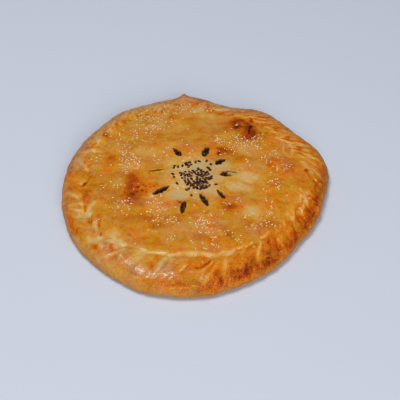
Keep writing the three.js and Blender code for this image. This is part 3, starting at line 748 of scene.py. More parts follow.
scorch += 0.35 * arc(147, 2.5, 8, 5) + 0.3 * arc(47, 5, 9, 5) + 0.3 * arc(32, 8, 10, 5)
scorch += 0.12 * arc(80, 10, 8, 5) + 0.2 * arc(250, 3, 6, 5) + 0.5 * arc(4, 1.5, -2, 2)
scorch = np.clip(0.85 * scorch, 0, 1.0)
on_rim += 0.03 * hump
rope = smooth(-7, 1, MM) * near_edge
bake = np.where(rim, on_rim, on_lid * (1 - rope) + on_rim * rope)
band = np.exp(-((DEG - 321) / 38) ** 4) * smooth(12, 22, MM) * (1 - smooth(35, 41, MM)) * rim
bake += 0.22 * scorch * (0.8 + 0.5 * n8 + 0.4 * n4) + 0.080 * band * (1 + 0.6 * n18)
bake += 0.03 * np.exp(-((DEG - 272) / 14) ** 4) * smooth(3, 8, MM) * rim
bake -= 0.36 * np.maximum(0.5 * valley * (1 - 0.5 * scorch) * (1 - 0.9 * sleek(DEG)), 0.40 * crease)
uneven = np.clip(1 + 0.5 * n8 + 0.5 * n4, 0.2, 1.6)
deg_w = DEG + 0.35 * n8 + 0.30 * n4
mm_w = MM + 0.9 * noise(xyz, 6, 54) + 0.5 * noise(xyz, 3, 55)
seared = np.zeros_like(X)
# The pale marks are mostly valleys that stayed pale; a few, noted in MARKS, are painted highlights of the glaze.
for places, half, much, _ in MARKS:
    on = near_line(deg_w, mm_w, places, half * 1.4) * uneven * (ZONE < 2)
    bake += (1.4 if much < 0 else 0.8) * much * on
    if much > 0:
        seared = np.maximum(seared, on)
for at, half, mm, reach, much in [
    (97, 3, 0, 3, 0.10), (108, 1.2, 8, 4, 0.10), (285, 3, 12, 6, 0.08), (12, 3, 14, 5, 0.08), (325, 3.5, 0.5, 2.4, 0.12),
    (316, 2, 0.5, 2.2, 0.10), (190, 9, 16, 9, 0.05), (207, 8, 20, 8, 0.04), (152, 8, 4, 9, 0.05), (97, 14, 4, 8, 0.05), (235, 14, 12, 12, 0.05), (230, 12, 34, 6, 0.09), (339, 5, 9, 10, 0.08), (320, 5, 6, 6, 0.04),
    (261, 3, 4, 4, 0.08), (249, 3, 5, 3.5, 0.05), (279, 3.5, 10, 4, 0.07), (268, 5, 11, 7, 0.05), (291, 3, 5, 3.5, 0.04),
    (195, 4, 2, 5, 0.10), (195, 4, 11, 3.5, -0.07), (201, 3, -1, 3, -0.08), (201, 3.5, 11, 3.5, 0.08), (207, 3, 11, 3.5, 0.06),
    (219, 4, 23, 4, 0.05), (226, 4, -1, 3, -0.06), (231, 6, 27, 6, 0.06), (237, 3.5, 15, 4, -0.05), (207, 5, 23, 4, -0.04),
    (323, 8, -1, 3, -0.09), (339, 4, -1, 3, -0.06), (284, 14, -1, 3, -0.07), (273, 5, 17, 4, -0.04), (265, 16, 29, 5, -0.06), (309, 3, 5, 4, 0.06), (336, 5, 17, 4, 0.05), (357, 3, 29, 5, -0.05), (255.5, 3, 16, 5, 0.05), (268, 4, 14, 5, 0.07), (303, 4, 19, 5, -0.06), (327, 4, 13, 6, -0.05),
    (345, 4, 18, 5, -0.05), (333, 4, 31, 6, -0.04), (351, 4, 27, 6, 0.08), (268, 13, 29, 4.5, -0.04), (53, 5, 3, 5, -0.10),
    (75, 4, 2, 6, 0.08), (98, 9, 2, 5, -0.08), (141, 3.5, 5, 5, -0.06), (153, 4, 2, 6, -0.06), (9, 3.5, -1, 3, -0.07),
    (9, 4, 18, 5, -0.06), (9, 4, 29, 4, 0.06), (15, 3, -1, 3, 0.06), (21, 4, 8, 6, 0.07), (39, 8, 11, 4, -0.06), (45, 3.5, -1, 3, 0.07),
]:
    bake -= much * arc(at, half, mm, reach)
bake -= 0.085 * np.exp(-((DEG - 306) / 54) ** 4) * np.exp(-((MM - 5) / 4.5) ** 2) * (ZONE < 2)
# The lowest band of the rim takes a colour of its own, made paler on the front left as painted light bounced up from
# below.
lower = smooth(35, 42, MM) * rim
bake += (0.49 - 0.12 * sleek(DEG) + 0.05 * n18 + 0.04 * n8 + 0.03 * n4 + 0.08 * scorch - bake) * lower * 0.75
on_foot = 0.56 + 0.08 * n18 + 0.06 * n8 + 0.05 * n4
bake = np.where(ZONE == 2, on_foot, bake + (on_foot - bake) * smooth(49, 55, MM) * rim)
# where the crust is grainy, and where it is glazed enough to shine
grain = smooth(-6, 6, MM) * (ZONE < 2) * (0.30 + 0.65 * smooth(14, 27, MM) + 0.25 * sleek(DEG)) * (1 - 0.55 * np.exp(-((DEG - 222) / 30) ** 4) * smooth(20, 28, MM) - 0.2 * np.exp(-((DEG - 345) / 40) ** 4))
# how dull and pinkish the gold is, and how much it turns to orange; the dull pink is partly the crust's own colour and
# partly painted sheen and reflection, on the glazed front left, the far rim and the lower edge
fiery = np.exp(-((DEG - 306) / 54) ** 4) * smooth(-4, 3, MM) * (ZONE < 2)
fiery = np.maximum(fiery, 0.6 * np.exp(-((DEG - 207) / 8) ** 4) * smooth(21, 25, MM) * smooth(36, 31, MM) * (ZONE < 2))
dust_and_sheen = 0.29 - 0.10 * smooth(60, 95, X) - 0.42 * fiery + 0.10 * sleek(DEG) * smooth(-4, 3, MM) + 0.05 * n40
dust_and_sheen -= 0.12 * np.exp(-((DEG - 192) / 18) ** 4) * smooth(-4, 3, MM)
# Painted reflection: the lower edge at the front left is made paler and pinker, as if lit by light bounced up from
# below.
dust_and_sheen += 0.38 * sleek(DEG - 2) * smooth(28, 34, MM)
dust_and_sheen += 0.34 * np.clip(pale, 0, 1) * (MM < -10) + 0.50 * blob(14, 7, 20, 15, 0, 3) + 0.40 * blob(-15, -30, 12, 8, 0, 2) + 0.45 * blob(10, -28, 15, 6, 0, 2) + 0.40 * blob(23, 8, 9, 11, 0, 2)
# Painted reflection: the far rim, around 50 to 160 degrees, is made paler and greyer-pink, as a sheen of the bright
# surroundings; the second term paints the lower edge at the front right paler pink, as light bounced up from below.
dust_and_sheen += 0.62 * np.exp(-((DEG - 106) / 58) ** 4) * smooth(6, 16, MM) + 0.45 * np.exp(-((DEG - 328) / 45) ** 4) * smooth(31, 38, MM)
# The last term paints the same reflection from below on the lower edge at the left, around 197 degrees.
dust_and_sheen += 0.45 * arc(255.5, 3.5, 16, 6) + 0.2 * arc(195, 5, 2, 5) + 0.25 * arc(246, 6, 23, 4) + 0.40 * arc(262, 6, -1, 3) - 0.25 * arc(266, 16, 29, 4.5) + 0.25 * np.exp(-((DEG - 197) / 20) ** 4) * smooth(30, 36, MM)
heat = (0.70 - 0.38 * smooth(9, 18, MM)) * fiery + 0.3 * seared + 0.3 * np.clip(scorch, 0, 1)
heat += 0.25 * smooth(62, 84, X) * smooth(4, -4, MM) * smooth(105, 60, np.abs(Y + 20)) + 0.20 * np.exp(-((DEG - 188) / 17) ** 4) * smooth(-4, 3, MM)
heat += 0.3 * arc(9, 6, 20, 7) + 0.3 * arc(357, 6, 25, 7) + 0.1 * arc(210, 8, 22, 5) + 0.2 * arc(213, 4, -1, 4)
dust_and_sheen -= 0.4 * seared
for bx, by, a, b, turn, h in BLISTERS:
    hot = blob(bx, by, a * 0.95, b * 1.15, turn, 2.4)
    heat, dust_and_sheen = heat + 0.35 * hot, dust_and_sheen - 0.55 * hot
for x, y, a, b, turn, much in [
    (-66, -41, 14, 5, -4, 0.55), (60, -76, 12, 6, 20, 0.28), (12, 84, 14, 8, 0, 0.20), (48, 45, 14, 8, 0, 0.35), (-8, -80, 14, 7, 0, 0.32),
    (-84, -45, 9, 6, 0, 0.30), (44, -57, 8, 6, 0, 0.30), (-60, 40, 10, 8, 0, 0.15), (36, 20, 8, 6, 0, 0.20), (64, 36, 10, 7, 0, 0.25),
    (-55, 12, 9, 9, 0, 0.15), (30, -72, 10, 5, 0, 0.12), (-32, -80, 8, 6, 0, 0.15), (85, -32, 12, 12, 0, -0.32), (-54, -14, 8, 12, 0, -0.25),
    (-40, -76, 8, 4, 0, -0.25), (-5, -52, 8, 6, 0, -0.20), (-48, -60, 12, 8, 0, -0.22), (-16, 56, 16, 8, 0, -0.20), (92, -52, 8, 8, 0, -0.20),
    (-106, 8, 8, 10, 0, -0.22), (24, -92, 12, 6, 0, -0.20), (8, -90, 8, 5, 0, -0.15), (20, 44, 10, 6, 0, -0.20), (92, -10, 8, 8, 0, -0.15),
    (6, -100, 30, 8, 0, -0.10), (-60, -60, 24, 14, 0, -0.08),
]:
    dust_and_sheen += much * blob(x, y, a, b, turn, 2)
for x, y, a, b in [(33, 40, 10, 6), (-57, -20, 11, 10)]:
    hot = blob(x, y, a, b, 0, 2)
    heat, dust_and_sheen = heat + 0.5 * hot, dust_and_sheen - 0.3 * hot
heat += 0.35 * np.exp(-((DEG - 40) / 42) ** 4) * smooth(14, 24, MM) * (ZONE < 2)
# A pinkish and golden mottling over the front left, in part a painted highlight of the glaze.
dust_and_sheen += 0.30 * noise(xyz, 7, 63) * np.exp(-((DEG - 238) / 34) ** 4) * smooth(-2, 4, MM) * (ZONE < 2)
# the far side of the rope edge is mottled
mottled = np.exp(-((DEG - 118) / 62) ** 4) * smooth(-8, 0, MM) * (ZONE < 2)
bake += (0.07 * n8 + 0.09 * n4) * mottled
dust_and_sheen += 0.35 * noise(xyz, 5, 61) * mottled
for places, half, much, _ in MARKS:
    if much < 0 and 70 < places[0][0] < 115:
        on = near_line(deg_w, mm_w, places, half * 1.4) * (ZONE < 2)
        heat, dust_and_sheen = heat + 0.15 * on, dust_and_sheen + 0.55 * on
heat += (0.10 + 0.40 * noise(xyz, 7, 62)) * mottled
# Painted reflection: the far-left edge at 137, 163 and 170 degrees is made paler and greyer-pink, a sheen of the bright
# surroundings; at 158 degrees the crust is darker and more orange.
dust_and_sheen += 0.75 * arc(170, 5, 20, 6) + 0.28 * arc(163, 4, 19, 6) + 0.32 * arc(137, 9, 16, 7) - 0.35 * arc(158, 2.2, 8, 4) + 0.30 * arc(172, 2.5, 12, 3)
bake += 0.15 * arc(157.4, 2.2, 8.5, 4) - 0.09 * arc(170, 5, 20, 6) - 0.03 * arc(137, 9, 16, 7)
heat += 0.20 * arc(158, 2.2, 8, 4)
peach = np.exp(-((DEG - 21) / 14) ** 4) * smooth(-9, -2, MM) * smooth(22, 14, MM) * (ZONE < 2)
bake, dust_and_sheen, heat = bake - 0.060 * peach, dust_and_sheen + 0.18 * peach, heat + 0.28 * peach
shine = np.zeros_like(X)
for places, half, much in GLAZED:
    shine = np.maximum(shine, much * near_line(DEG, MM, places, half))
shine = np.clip(shine * uneven, 0, 1) * (ZONE < 2)
shine = np.maximum(shine, 0.22 * np.exp(-((DEG - 240) / 24) ** 4) * smooth(4, 12, MM) * (1 - smooth(24, 32, MM)) * (ZONE < 2))
# Painted highlight: where the glaze shines on the front left, the base colour is made a little more baked and much
# duller and pinker, a painted sheen of the glaze.
painted_glaze_sheen = np.clip(shine, 0, 1) * smooth(205, 215, DEG) * smooth(285, 265, DEG)
bake += 0.07 * painted_glaze_sheen
dust_and_sheen += 0.40 * painted_glaze_sheen
shine = np.maximum(shine, 0.10 * grain)

_, cut = lid_height(X, Y, np.clip(Q, 0, 1), TH)
cut = cut * lid
# The flap snip's lip: paler, duller dough, with the bake raised towards the open end of the snip as painted shade
# grading into the cut.
flap = smooth(0.3, -0.4, snip_distance(FLAP, X, Y)) * lid
along, across = snip_local(FLAP, X, Y)
bake += (0.40 * (1 - smooth(-2, 5, along + 0.9 * across)) - 0.25) * flap
dust_and_sheen += 0.5 * flap
bake = np.clip(bake, 0.02, 1.0)


def make_object(name, points_mm, triangles):
    mesh = bpy.data.meshes.new(name)
    n, m = len(points_mm), len(triangles)
    mesh.vertices.add(n)
    place = (points_mm + (SHIFT[0], SHIFT[1], 0.0)) / 1000.0
    mesh.vertices.foreach_set("co", place.astype(np.float32).ravel())
    mesh.loops.add(3 * m)
    mesh.loops.foreach_set("vertex_index", triangles.astype(np.int32).ravel())
    mesh.polygons.add(m)
    mesh.polygons.foreach_set("loop_start", np.arange(0, 3 * m, 3, dtype=np.int32))
    mesh.polygons.foreach_set("use_smooth", np.ones(m, dtype=bool))
    mesh.update(calc_edges=True)
    mesh.validate()
    obj = bpy.data.objects.new(name, mesh)
    bpy.context.scene.collection.objects.link(obj)
    return obj


def set_attribute(obj, name, values):
    a = obj.data.attributes.new(name, "FLOAT", "POINT")
    a.data.foreach_set("value", np.asarray(values, np.float32))


crust = make_object("crust", xyz, tris)
set_attribute(crust, "bake", bake)
set_attribute(crust, "cut", cut)
set_attribute(crust, "scorch", np.clip(scorch, 0, 1))
set_attribute(crust, "grain", grain)
set_attribute(crust, "shine", shine)
set_attribute(crust, "dust_and_sheen", dust_and_sheen)
set_attribute(crust, "warmth", np.clip(heat, 0, 1))

# ---------------------------------------------------------------------- seeds
tree = BVHTree.FromPolygons([Vector(v) for v in xyz], [tuple(int(i) for i in t) for t in tris])


def seed_shape(length, width, thick, ring=8, along_n=6, full=0.85):
    """A flat, drop-shaped seed, its long axis on x and its flat side down."""
    pts, tri = [(-length / 2, 0, 0)], []
    for j in range(1, along_n):
        t = j / along_n
        x = -length / 2 * math.cos(math.pi * t)
        w = math.sin(math.pi * t) ** full
        taper = 1.14 - 0.40 * t
        for k in range(ring):
            a = 2 * math.pi * k / ring
            pts.append((x, width / 2 * w * taper * math.cos(a), thick / 2 * w * math.sin(a)))
    pts.append((length / 2, 0, 0))
    last = len(pts) - 1
    for k in range(ring):
        tri.append((0, 1 + (k + 1) % ring, 1 + k))
    for j in range(along_n - 2):
        for k in range(ring):
            a, b = 1 + j * ring + k, 1 + j * ring + (k + 1) % ring
            tri += [(a, b, b + ring), (a, b + ring, a + ring)]
    base = 1 + (along_n - 2) * ring
    for k in range(ring):
        tri.append((last, base + k, base + (k + 1) % ring))
    return np.array(pts, float), np.array(tri)


def scatter(name, places, length, width, thick, seed, sink=0.28, tilt=0.16, full=0.85, pile=0.0):
    """Seeds of one kind as one mesh, each lying on the crust where it fell."""
    rnd = np.random.RandomState(seed)
    pts, tri, own = [], [], []
    n = 0
    done = []
    for x, y in places:
        under = sum((x - a) ** 2 + (y - c) ** 2 < (0.62 * length) ** 2 for a, c in done) if pile else 0
        done.append((x, y))
        hit, normal, _, _ = tree.ray_cast(Vector((x, y, 80.0)), Vector((0, 0, -1)))
        if hit is None or normal.z < 0.35:
            continue
        size = rnd.uniform(0.84, 1.14)
        base, faces_ = seed_shape(length * size, width * size * rnd.uniform(0.9, 1.12), thick * size, full=full)
        normal = (normal + Vector((rnd.normal(0, tilt), rnd.normal(0, tilt), 0))).normalized()
        turn = rnd.uniform(0, 2 * math.pi)
        ahead = Vector((math.cos(turn), math.sin(turn), 0))
        ahead = (ahead - normal * ahead.dot(normal)).normalized()
        side = normal.cross(ahead)
        m = np.array([ahead, side, normal]).T
        pts.append(base @ m.T + np.array(hit) + np.array(normal) * thick * size * (0.5 - sink + pile * min(under, 2)))
        tri.append(faces_ + n)
        n += len(base)
        own.append(np.full(len(base), rnd.uniform(0, 1)))
    obj = make_object(name, np.concatenate(pts), np.concatenate(tri))
    set_attribute(obj, "own", np.concatenate(own))
    return obj


def gather(clusters, spread_seed, apart, got=None):
    """Places of seeds: [x, y, reach in x, reach in y, how many], none on another."""
    rnd = np.random.RandomState(spread_seed)
    got = [] if got is None else list(got)
    for cx, cy, sx, sy, many in clusters:
        made = tries = 0
        while made < many and tries < many * 30:
            tries += 1
            x, y = cx + sx * 0.58 * rnd.normal(), cy + sy * 0.58 * rnd.normal()
            if math.hypot(x, y) > 128:
                continue
            if any(snip_distance(k, np.array([x]), np.array([y]))[0] < 1.4 for k in range(len(SNIPS))):
                continue
            if got and min((x - a) ** 2 + (y - b) ** 2 for a, b in got) < apart ** 2:
                continue
            got.append((x, y))
            made += 1
    return got


def inside(x, y, corners):
    hit = False
    for (xa, ya), (xb, yb) in zip(corners, corners[1:] + corners[:1]):
        if (ya > y) != (yb > y) and x < (xb - xa) * (y - ya) / (yb - ya) + xa:
            hit = not hit
    return hit


PALE_SEEDS = [
    (-50, 85, 17, 20, 78), (-36, 103, 24, 10, 22), (-71, 66, 4, 12, 12), (-60, 53, 5, 4, 4), (-91, 49, 3, 3, 2),
    (-79, 25, 9, 19, 62), (-67, 17, 5, 6, 13), (-86, -17, 16, 7, 14), (-81, -46, 13, 10, 30), (-42, -58, 11, 18, 52),
    (-25, -70, 7, 6, 12), (-26, -90, 6, 7, 7), (5, -73, 11, 9, 42), (8, -61, 8, 4, 6), (-2, -97, 4, 4, 3),
    (17, -100, 8, 5, 10), (16, -86, 6, 6, 6), (32, -82, 8, 5, 6), (42, -93, 5, 5, 5), (28, -56, 4, 4, 5),
    (35, -47, 3.5, 3, 7), (45, -40, 5, 3, 6), (56, -60, 6, 5, 7), (58, -74, 7, 6, 9), (69, -64, 4, 4, 4),
    (78, -58, 5, 5, 8), (78, -70, 8, 7, 9), (79, -42, 5, 6, 9), (81, 19, 6, 9, 14), (90, 32, 10, 9, 22),
    (101, 12, 8, 6, 13), (88, -10, 12, 13, 28), (57, 51, 17, 12, 72), (46, 62, 8, 6, 8), (25, 54, 9, 6, 16),
    (58, 18, 5, 5, 6), (40, 38, 8, 12, 8), (-36, 26, 15, 22, 16), (-33, 2, 8, 8, 4), (48, 82, 4, 4, 3),
    (0, 0, 104, 100, 62), (73, 62, 5, 4, 5), (-113, -75, 8, 10, 4), (-20, 118, 26, 7, 26), (-62, 100, 14, 9, 12), (-95, 68, 10, 12, 8),
    (5, 110, 12, 7, 8), (-112, 30, 6, 12, 5),
]
DARK_AREA = [
    (-18, 1), (-12, 3.5), (-5, 5.5), (3, 8.5), (8, 3), (14, 1.5), (18, -4), (17, -12), (12, -14.5),
    (16.5, -21), (9, -23.5), (-2, -22.5), (-6, -18.5), (-12, -17.5), (-13, -12), (-17, -5),
]
DARK_ALONE = [
    (-25, 10.0), (-24, 13), (-20.2, 11.4), (-15.4, 12.6), (-10.6, 14.2), (-7.4, 17.4), (-5.6, 13.8), (-8.4, 11.6), (-11.6, 16.8),
    (-0.6, 17.6), (3.4, 19.2), (12.0, 19.4), (16.8, 14.0), (13.4, 8.8), (15.4, 5.8), (-26, -1.4), (-24.4, -6.2), (-20.8, -15.6),
    (-10.4, -23.6), (-8.0, -22.6), (-5, -32.0), (22.0, -18.0),
]
rnd = np.random.RandomState(8)
dark_places = list(DARK_ALONE)
for _ in range(2600):
    x, y = rnd.uniform(-20, 20), rnd.uniform(-27, 10)
    if inside(x, y, DARK_AREA) and math.hypot((x + 2.5) / 3.2, (y + 4) / 4.8) > 1:
        apart = 2.35 if y < -13 else 2.85
        if min((x - a) ** 2 + (y - b) ** 2 for a, b in dark_places) > apart ** 2:
            dark_places.append((x, y))
dark = scatter("dark_seeds", dark_places, 4.0, 2.9, 1.6, 22, sink=0.25, tilt=0.22, full=0.6, pile=0.28)
sesame = scatter("sesame_seeds", gather(PALE_SEEDS, 5, 1.8, dark_places)[len(dark_places):], 2.35, 1.4, 0.8, 21)


# ------------------------------------------------------------------ materials
def material(name):
    m = bpy.data.materials.new(name)
    m.use_nodes = True
    m.node_tree.nodes.clear()
    return m, m.node_tree.nodes, m.node_tree.links


def node(nodes, kind, **values):
    n = nodes.new(kind)
    for k, v in values.items():
        setattr(n, k, v)
    return n


def attribute(nodes, name):
    return node(nodes, "ShaderNodeAttribute", attribute_type="GEOMETRY", attribute_name=name)


def noise_node(nodes, links, where, scale, detail=3.0, rough=0.55):
    n = nodes.new("ShaderNodeTexNoise")
    n.inputs["Scale"].default_value = scale
    n.inputs["Detail"].default_value = detail
    n.inputs["Roughness"].default_value = rough
    links.new(where.outputs["Object"], n.inputs["Vector"])
    return n


def add_scaled(nodes, links, base, extra, gain, middle=0.5):
    """base + (extra - middle) * gain"""
    n = node(nodes, "ShaderNodeMath", operation="MULTIPLY_ADD")
    links.new(extra, n.inputs[0])
    n.inputs[1].default_value = gain
    m = node(nodes, "ShaderNodeMath", operation="ADD")
    links.new(base, m.inputs[0])
    m.inputs[1].default_value = -gain * middle
    links.new(m.outputs[0], n.inputs[2])
    return n.outputs[0]


def math_node(nodes, links, operation, a, b):
    n = node(nodes, "ShaderNodeMath", operation=operation)
    for socket, value in ((n.inputs[0], a), (n.inputs[1], b)):
        if isinstance(value, float):
            socket.default_value = value
        else:
            links.new(value, socket)
    return n.outputs[0]


def ramp(nodes, links, value, stops_):
    r = nodes.new("ShaderNodeValToRGB")
    r.color_ramp.interpolation = "LINEAR"
    e = r.color_ramp.elements
    while len(e) < len(stops_):
        e.new(0.5)
    for el, (at, col) in zip(e, stops_):
        el.position = at
        el.color = (*col, 1.0)
    links.new(value, r.inputs["Fac"])
    return r


def mapped(nodes, links, value, lo, hi, to_lo, to_hi):
    n = nodes.new("ShaderNodeMapRange")
    n.inputs["From Min"].default_value = lo
    n.inputs["From Max"].default_value = hi
    n.inputs["To Min"].default_value = to_lo
    n.inputs["To Max"].default_value = to_hi
    links.new(value, n.inputs["Value"])
    return n.outputs["Result"]


def mix_colour(nodes, links, fac, a, b):
    n = node(nodes, "ShaderNodeMix", data_type="RGBA", blend_type="MIX")
    links.new(fac, n.inputs["Factor"])
    for socket, value in ((n.inputs[6], a), (n.inputs[7], b)):
        if isinstance(value, tuple):
            socket.default_value = (*value, 1.0)
        else:
            links.new(value, socket)
    return n.outputs[2]


def finish_material(nodes, links, colour, rough, height=None, bump=0.3, distance=0.0006, spec=0.3):
    b = nodes.new("ShaderNodeBsdfPrincipled")
    out = nodes.new("ShaderNodeOutputMaterial")
    links.new(colour, b.inputs["Base Color"])
    if isinstance(rough, float):
        b.inputs["Roughness"].default_value = rough
    else:
        links.new(rough, b.inputs["Roughness"])
    b.inputs["Specular IOR Level"].default_value = spec
    if height is not None:
        n = nodes.new("ShaderNodeBump")
        n.inputs["Strength"].default_value = bump
        n.inputs["Distance"].default_value = distance
        links.new(height, n.inputs["Height"])
        links.new(n.outputs["Normal"], b.inputs["Normal"])
    links.new(b.outputs["BSDF"], out.inputs["Surface"])
    return b


# Crust: one scale of browning, from raw cream to char, in a more golden and a
# more orange version, with finer mottling.
BROWN_AT = (0.0, 0.12, 0.25, 0.36, 0.46, 0.57, 0.67, 0.78, 0.88, 1.0)
GOLDEN = [
    (0.650, 0.460, 0.2100), (0.650, 0.412, 0.1400), (0.610, 0.338, 0.0580), (0.560, 0.266, 0.0190), (0.522, 0.206, 0.0080),
    (0.454, 0.148, 0.0048), (0.388, 0.096, 0.0035), (0.276, 0.055, 0.0030), (0.150, 0.029, 0.0030), (0.030, 0.010, 0.0040),
]
ORANGE = [
    (0.700, 0.462, 0.2100), (0.712, 0.402, 0.1300), (0.705, 0.308, 0.0500), (0.688, 0.228, 0.0150), (0.648, 0.175, 0.0065),
    (0.545, 0.114, 0.0040), (0.430, 0.072, 0.0030), (0.290, 0.041, 0.0030), (0.160, 0.024, 0.0030), (0.030, 0.010, 0.0040),
]
DUSTY_AND_SHEEN = [
    (0.470, 0.345, 0.1600), (0.515, 0.348, 0.1450), (0.550, 0.322, 0.1150), (0.555, 0.283, 0.0950), (0.530, 0.234, 0.0760),
    (0.465, 0.170, 0.0580), (0.398, 0.118, 0.0470), (0.286, 0.075, 0.0360), (0.160, 0.040, 0.0240), (0.030, 0.010, 0.0040),
]
m, nodes, links = material("baked_crust")
where = nodes.new("ShaderNodeTexCoord")
grainy = attribute(nodes, "grain").outputs["Fac"]
shiny = attribute(nodes, "shine").outputs["Fac"]
value = attribute(nodes, "bake").outputs["Fac"]
fine = noise_node(nodes, links, where, 980, 3, 0.65)
medium = noise_node(nodes, links, where, 260, 4, 0.6)
patch = noise_node(nodes, links, where, 75, 3, 0.5)
tint = noise_node(nodes, links, where, 38, 3, 0.55)
tint_small = noise_node(nodes, links, where, 150, 3, 0.6)
value = add_scaled(nodes, links, value, patch.outputs["Fac"], 0.24)
value = add_scaled(nodes, links, value, medium.outputs["Fac"], 0.26)
value = add_scaled(nodes, links, value, fine.outputs["Fac"], 0.26)
centred = mapped(nodes, links, fine.outputs["Fac"], 0.0, 1.0, -0.34, 0.34)
value = math_node(nodes, links, "ADD", value, math_node(nodes, links, "MULTIPLY", centred, grainy))
speck = mapped(nodes, links, fine.outputs["Fac"], 0.50, 0.66, 0.0, 0.13)
speck = math_node(nodes, links, "MULTIPLY", speck, attribute(nodes, "scorch").outputs["Fac"])
value = math_node(nodes, links, "ADD", value, speck)
spots = noise_node(nodes, links, where, 430, 2, 0.5)
value = math_node(nodes, links, "ADD", value, mapped(nodes, links, spots.outputs["Fac"], 0.60, 0.72, 0.0, 0.15))
golden = ramp(nodes, links, value, list(zip(BROWN_AT, GOLDEN))).outputs["Color"]
orange = ramp(nodes, links, value, list(zip(BROWN_AT, ORANGE))).outputs["Color"]
warm = add_scaled(nodes, links, tint.outputs["Fac"], tint_small.outputs["Fac"], 0.8)
warm = add_scaled(nodes, links, warm, attribute(nodes, "warmth").outputs["Fac"], 0.38, 0.0)
colour = mix_colour(nodes, links, mapped(nodes, links, warm, 0.45, 0.73, 0.0, 1.0), golden, orange)
dusty_and_sheen = ramp(nodes, links, value, list(zip(BROWN_AT, DUSTY_AND_SHEEN))).outputs["Color"]
dull = noise_node(nodes, links, where, 34, 3, 0.55)
dull_small = noise_node(nodes, links, where, 170, 3, 0.6)
how_dull = add_scaled(nodes, links, attribute(nodes, "dust_and_sheen").outputs["Fac"], dull.outputs["Fac"], 1.1)
how_dull = add_scaled(nodes, links, how_dull, dull_small.outputs["Fac"], 1.3)
colour = mix_colour(nodes, links, mapped(nodes, links, how_dull, 0.15, 0.95, 0.0, 1.0), colour, dusty_and_sheen)
# Painted shade: inside the snips the colour turns near black to dark brown, standing in for the shade in the deep cuts.
cut_in = mapped(nodes, links, attribute(nodes, "cut").outputs["Fac"], 0.05, 0.6, 0.0, 1.0)
painted_cut_shade = ramp(nodes, links, medium.outputs["Fac"], [(0.40, (0.018, 0.011, 0.006)), (0.54, (0.048, 0.026, 0.012)), (0.66, (0.150, 0.080, 0.034))]).outputs["Color"]
colour = mix_colour(nodes, links, cut_in, colour, painted_cut_shade)
rough = mapped(nodes, links, medium.outputs["Fac"], 0.3, 0.7, 0.34, 0.50)
height = add_scaled(nodes, links, medium.outputs["Fac"], fine.outputs["Fac"], 0.5)
height = math_node(nodes, links, "ADD", height, math_node(nodes, links, "MULTIPLY", fine.outputs["Fac"], grainy))
b = finish_material(nodes, links, colour, rough, height, bump=0.55, distance=0.0008, spec=0.03)
# the egg glaze: a clear coat over beads of dough
sparks = noise_node(nodes, links, where, 620, 2, 0.5)
links.new(math_node(nodes, links, "MULTIPLY", shiny, mapped(nodes, links, sparks.outputs["Fac"], 0.42, 0.60, 0.22, 1.0)), b.inputs["Coat Weight"])
b.inputs["Coat Roughness"].default_value = 0.24
b.inputs["Coat IOR"].default_value = 1.75
beads = nodes.new("ShaderNodeBump")
beads.inputs["Strength"].default_value = 0.5
beads.inputs["Distance"].default_value = 0.0007
links.new(sparks.outputs["Fac"], beads.inputs["Height"])
links.new(beads.outputs["Normal"], b.inputs["Coat Normal"])
crust.data.materials.append(m)

m, nodes, links = material("sesame")
where = nodes.new("ShaderNodeTexCoord")
own = attribute(nodes, "own").outputs["Fac"]
fine = noise_node(nodes, links, where, 1500, 2)
value = add_scaled(nodes, links, own, fine.outputs["Fac"], 0.6)
colour = ramp(nodes, links, value, [(0.0, (0.80, 0.65, 0.45)), (0.45, (0.72, 0.53, 0.31)), (0.75, (0.62, 0.38, 0.15)), (1.0, (0.52, 0.25, 0.06))]).outputs["Color"]
finish_material(nodes, links, colour, 0.5, fine.outputs["Fac"], bump=0.15, distance=0.0002, spec=0.25)
sesame.data.materials.append(m)

m, nodes, links = material("dark_seed")
where = nodes.new("ShaderNodeTexCoord")
own = attribute(nodes, "own").outputs["Fac"]
fine = noise_node(nodes, links, where, 1200, 2)
value = add_scaled(nodes, links, own, fine.outputs["Fac"], 0.6)
colour = ramp(nodes, links, value, [(0.0, (0.022, 0.006, 0.004)), (0.5, (0.055, 0.014, 0.010)), (0.8, (0.100, 0.028, 0.022)), (1.0, (0.17, 0.070, 0.062))]).outputs["Color"]
finish_material(nodes, links, colour, 0.45, fine.outputs["Fac"], bump=0.1, distance=0.0002, spec=0.12)
dark.data.materials.append(m)

for piece in (crust, sesame, dark):
    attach(piece, "root")
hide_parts("chudu")

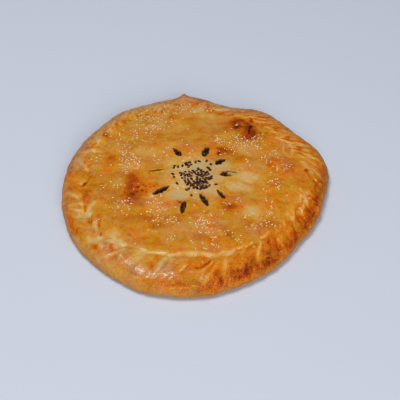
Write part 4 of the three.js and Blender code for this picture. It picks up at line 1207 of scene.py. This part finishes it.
# -------------------------------------------------------------- floor, light
mesh = bpy.data.meshes.new("floor")
mesh.from_pydata([(-6, -6, 0), (6, -6, 0), (6, 6, 0), (-6, 6, 0)], [], [(0, 1, 2, 3)])
floor = bpy.data.objects.new("floor", mesh)
bpy.context.scene.collection.objects.link(floor)
floor.location.z = -0.0002
m, nodes, links = material("floor")
b = nodes.new("ShaderNodeBsdfPrincipled")
b.inputs["Base Color"].default_value = (0.585, 0.625, 0.72, 1.0)
b.inputs["Roughness"].default_value = 0.7
b.inputs["Specular IOR Level"].default_value = 0.1
links.new(b.outputs["BSDF"], nodes.new("ShaderNodeOutputMaterial").inputs["Surface"])
floor.data.materials.append(m)


def area_light(name, place, aim, size, power, colour=(1, 1, 1)):
    light = bpy.data.lights.new(name, "AREA")
    light.shape = "SQUARE"
    light.size = size
    light.energy = power
    light.color = colour
    obj = bpy.data.objects.new(name, light)
    obj.location = place
    obj.rotation_euler = (Vector(aim) - Vector(place)).to_track_quat("-Z", "Y").to_euler()
    bpy.context.scene.collection.objects.link(obj)
    return obj


area_light("soft_above", (-0.57, -0.08, 2.60), (0, 0, 0), 1.0, 41)
area_light("soft_front", (0.55, -2.28, 1.3), (0, 0, 0), 1.6, 38.5)
world = bpy.data.worlds.new("studio")
bpy.context.scene.world = world
world.use_nodes = True
sky = world.node_tree.nodes.get("Background")
sky.inputs["Color"].default_value = (0.95, 0.97, 1.0, 1.0)
sky.inputs["Strength"].default_value = 0.20

# -------------------------------------------------------------------- camera
AIM = Vector((4.412 + SHIFT[0], -25.351 + SHIFT[1], 13.8)) / 1000.0
up_angle = math.radians(47)
camera = bpy.data.cameras.new("camera")
camera.sensor_width = 36.0
camera.sensor_height = 36.0
camera.sensor_fit = "HORIZONTAL"
camera.lens = 18.0 / math.tan(math.radians(12.5))
camera.clip_start = 0.05
camera.clip_end = 50
cam = bpy.data.objects.new("camera", camera)
cam.location = AIM + Vector((0, -math.cos(up_angle), math.sin(up_angle))) * 1.0
cam.rotation_euler = (math.radians(90) - up_angle, 0, 0)
bpy.context.scene.collection.objects.link(cam)
bpy.context.scene.camera = cam

look = bpy.context.scene.view_settings
look.view_transform = "Standard"
look.look = "None"
look.exposure = 0.0
look.gamma = 1.0

print("triangles", {o.name: len(o.data.polygons) for o in (crust, sesame, dark)})
bpy.context.view_layer.update()
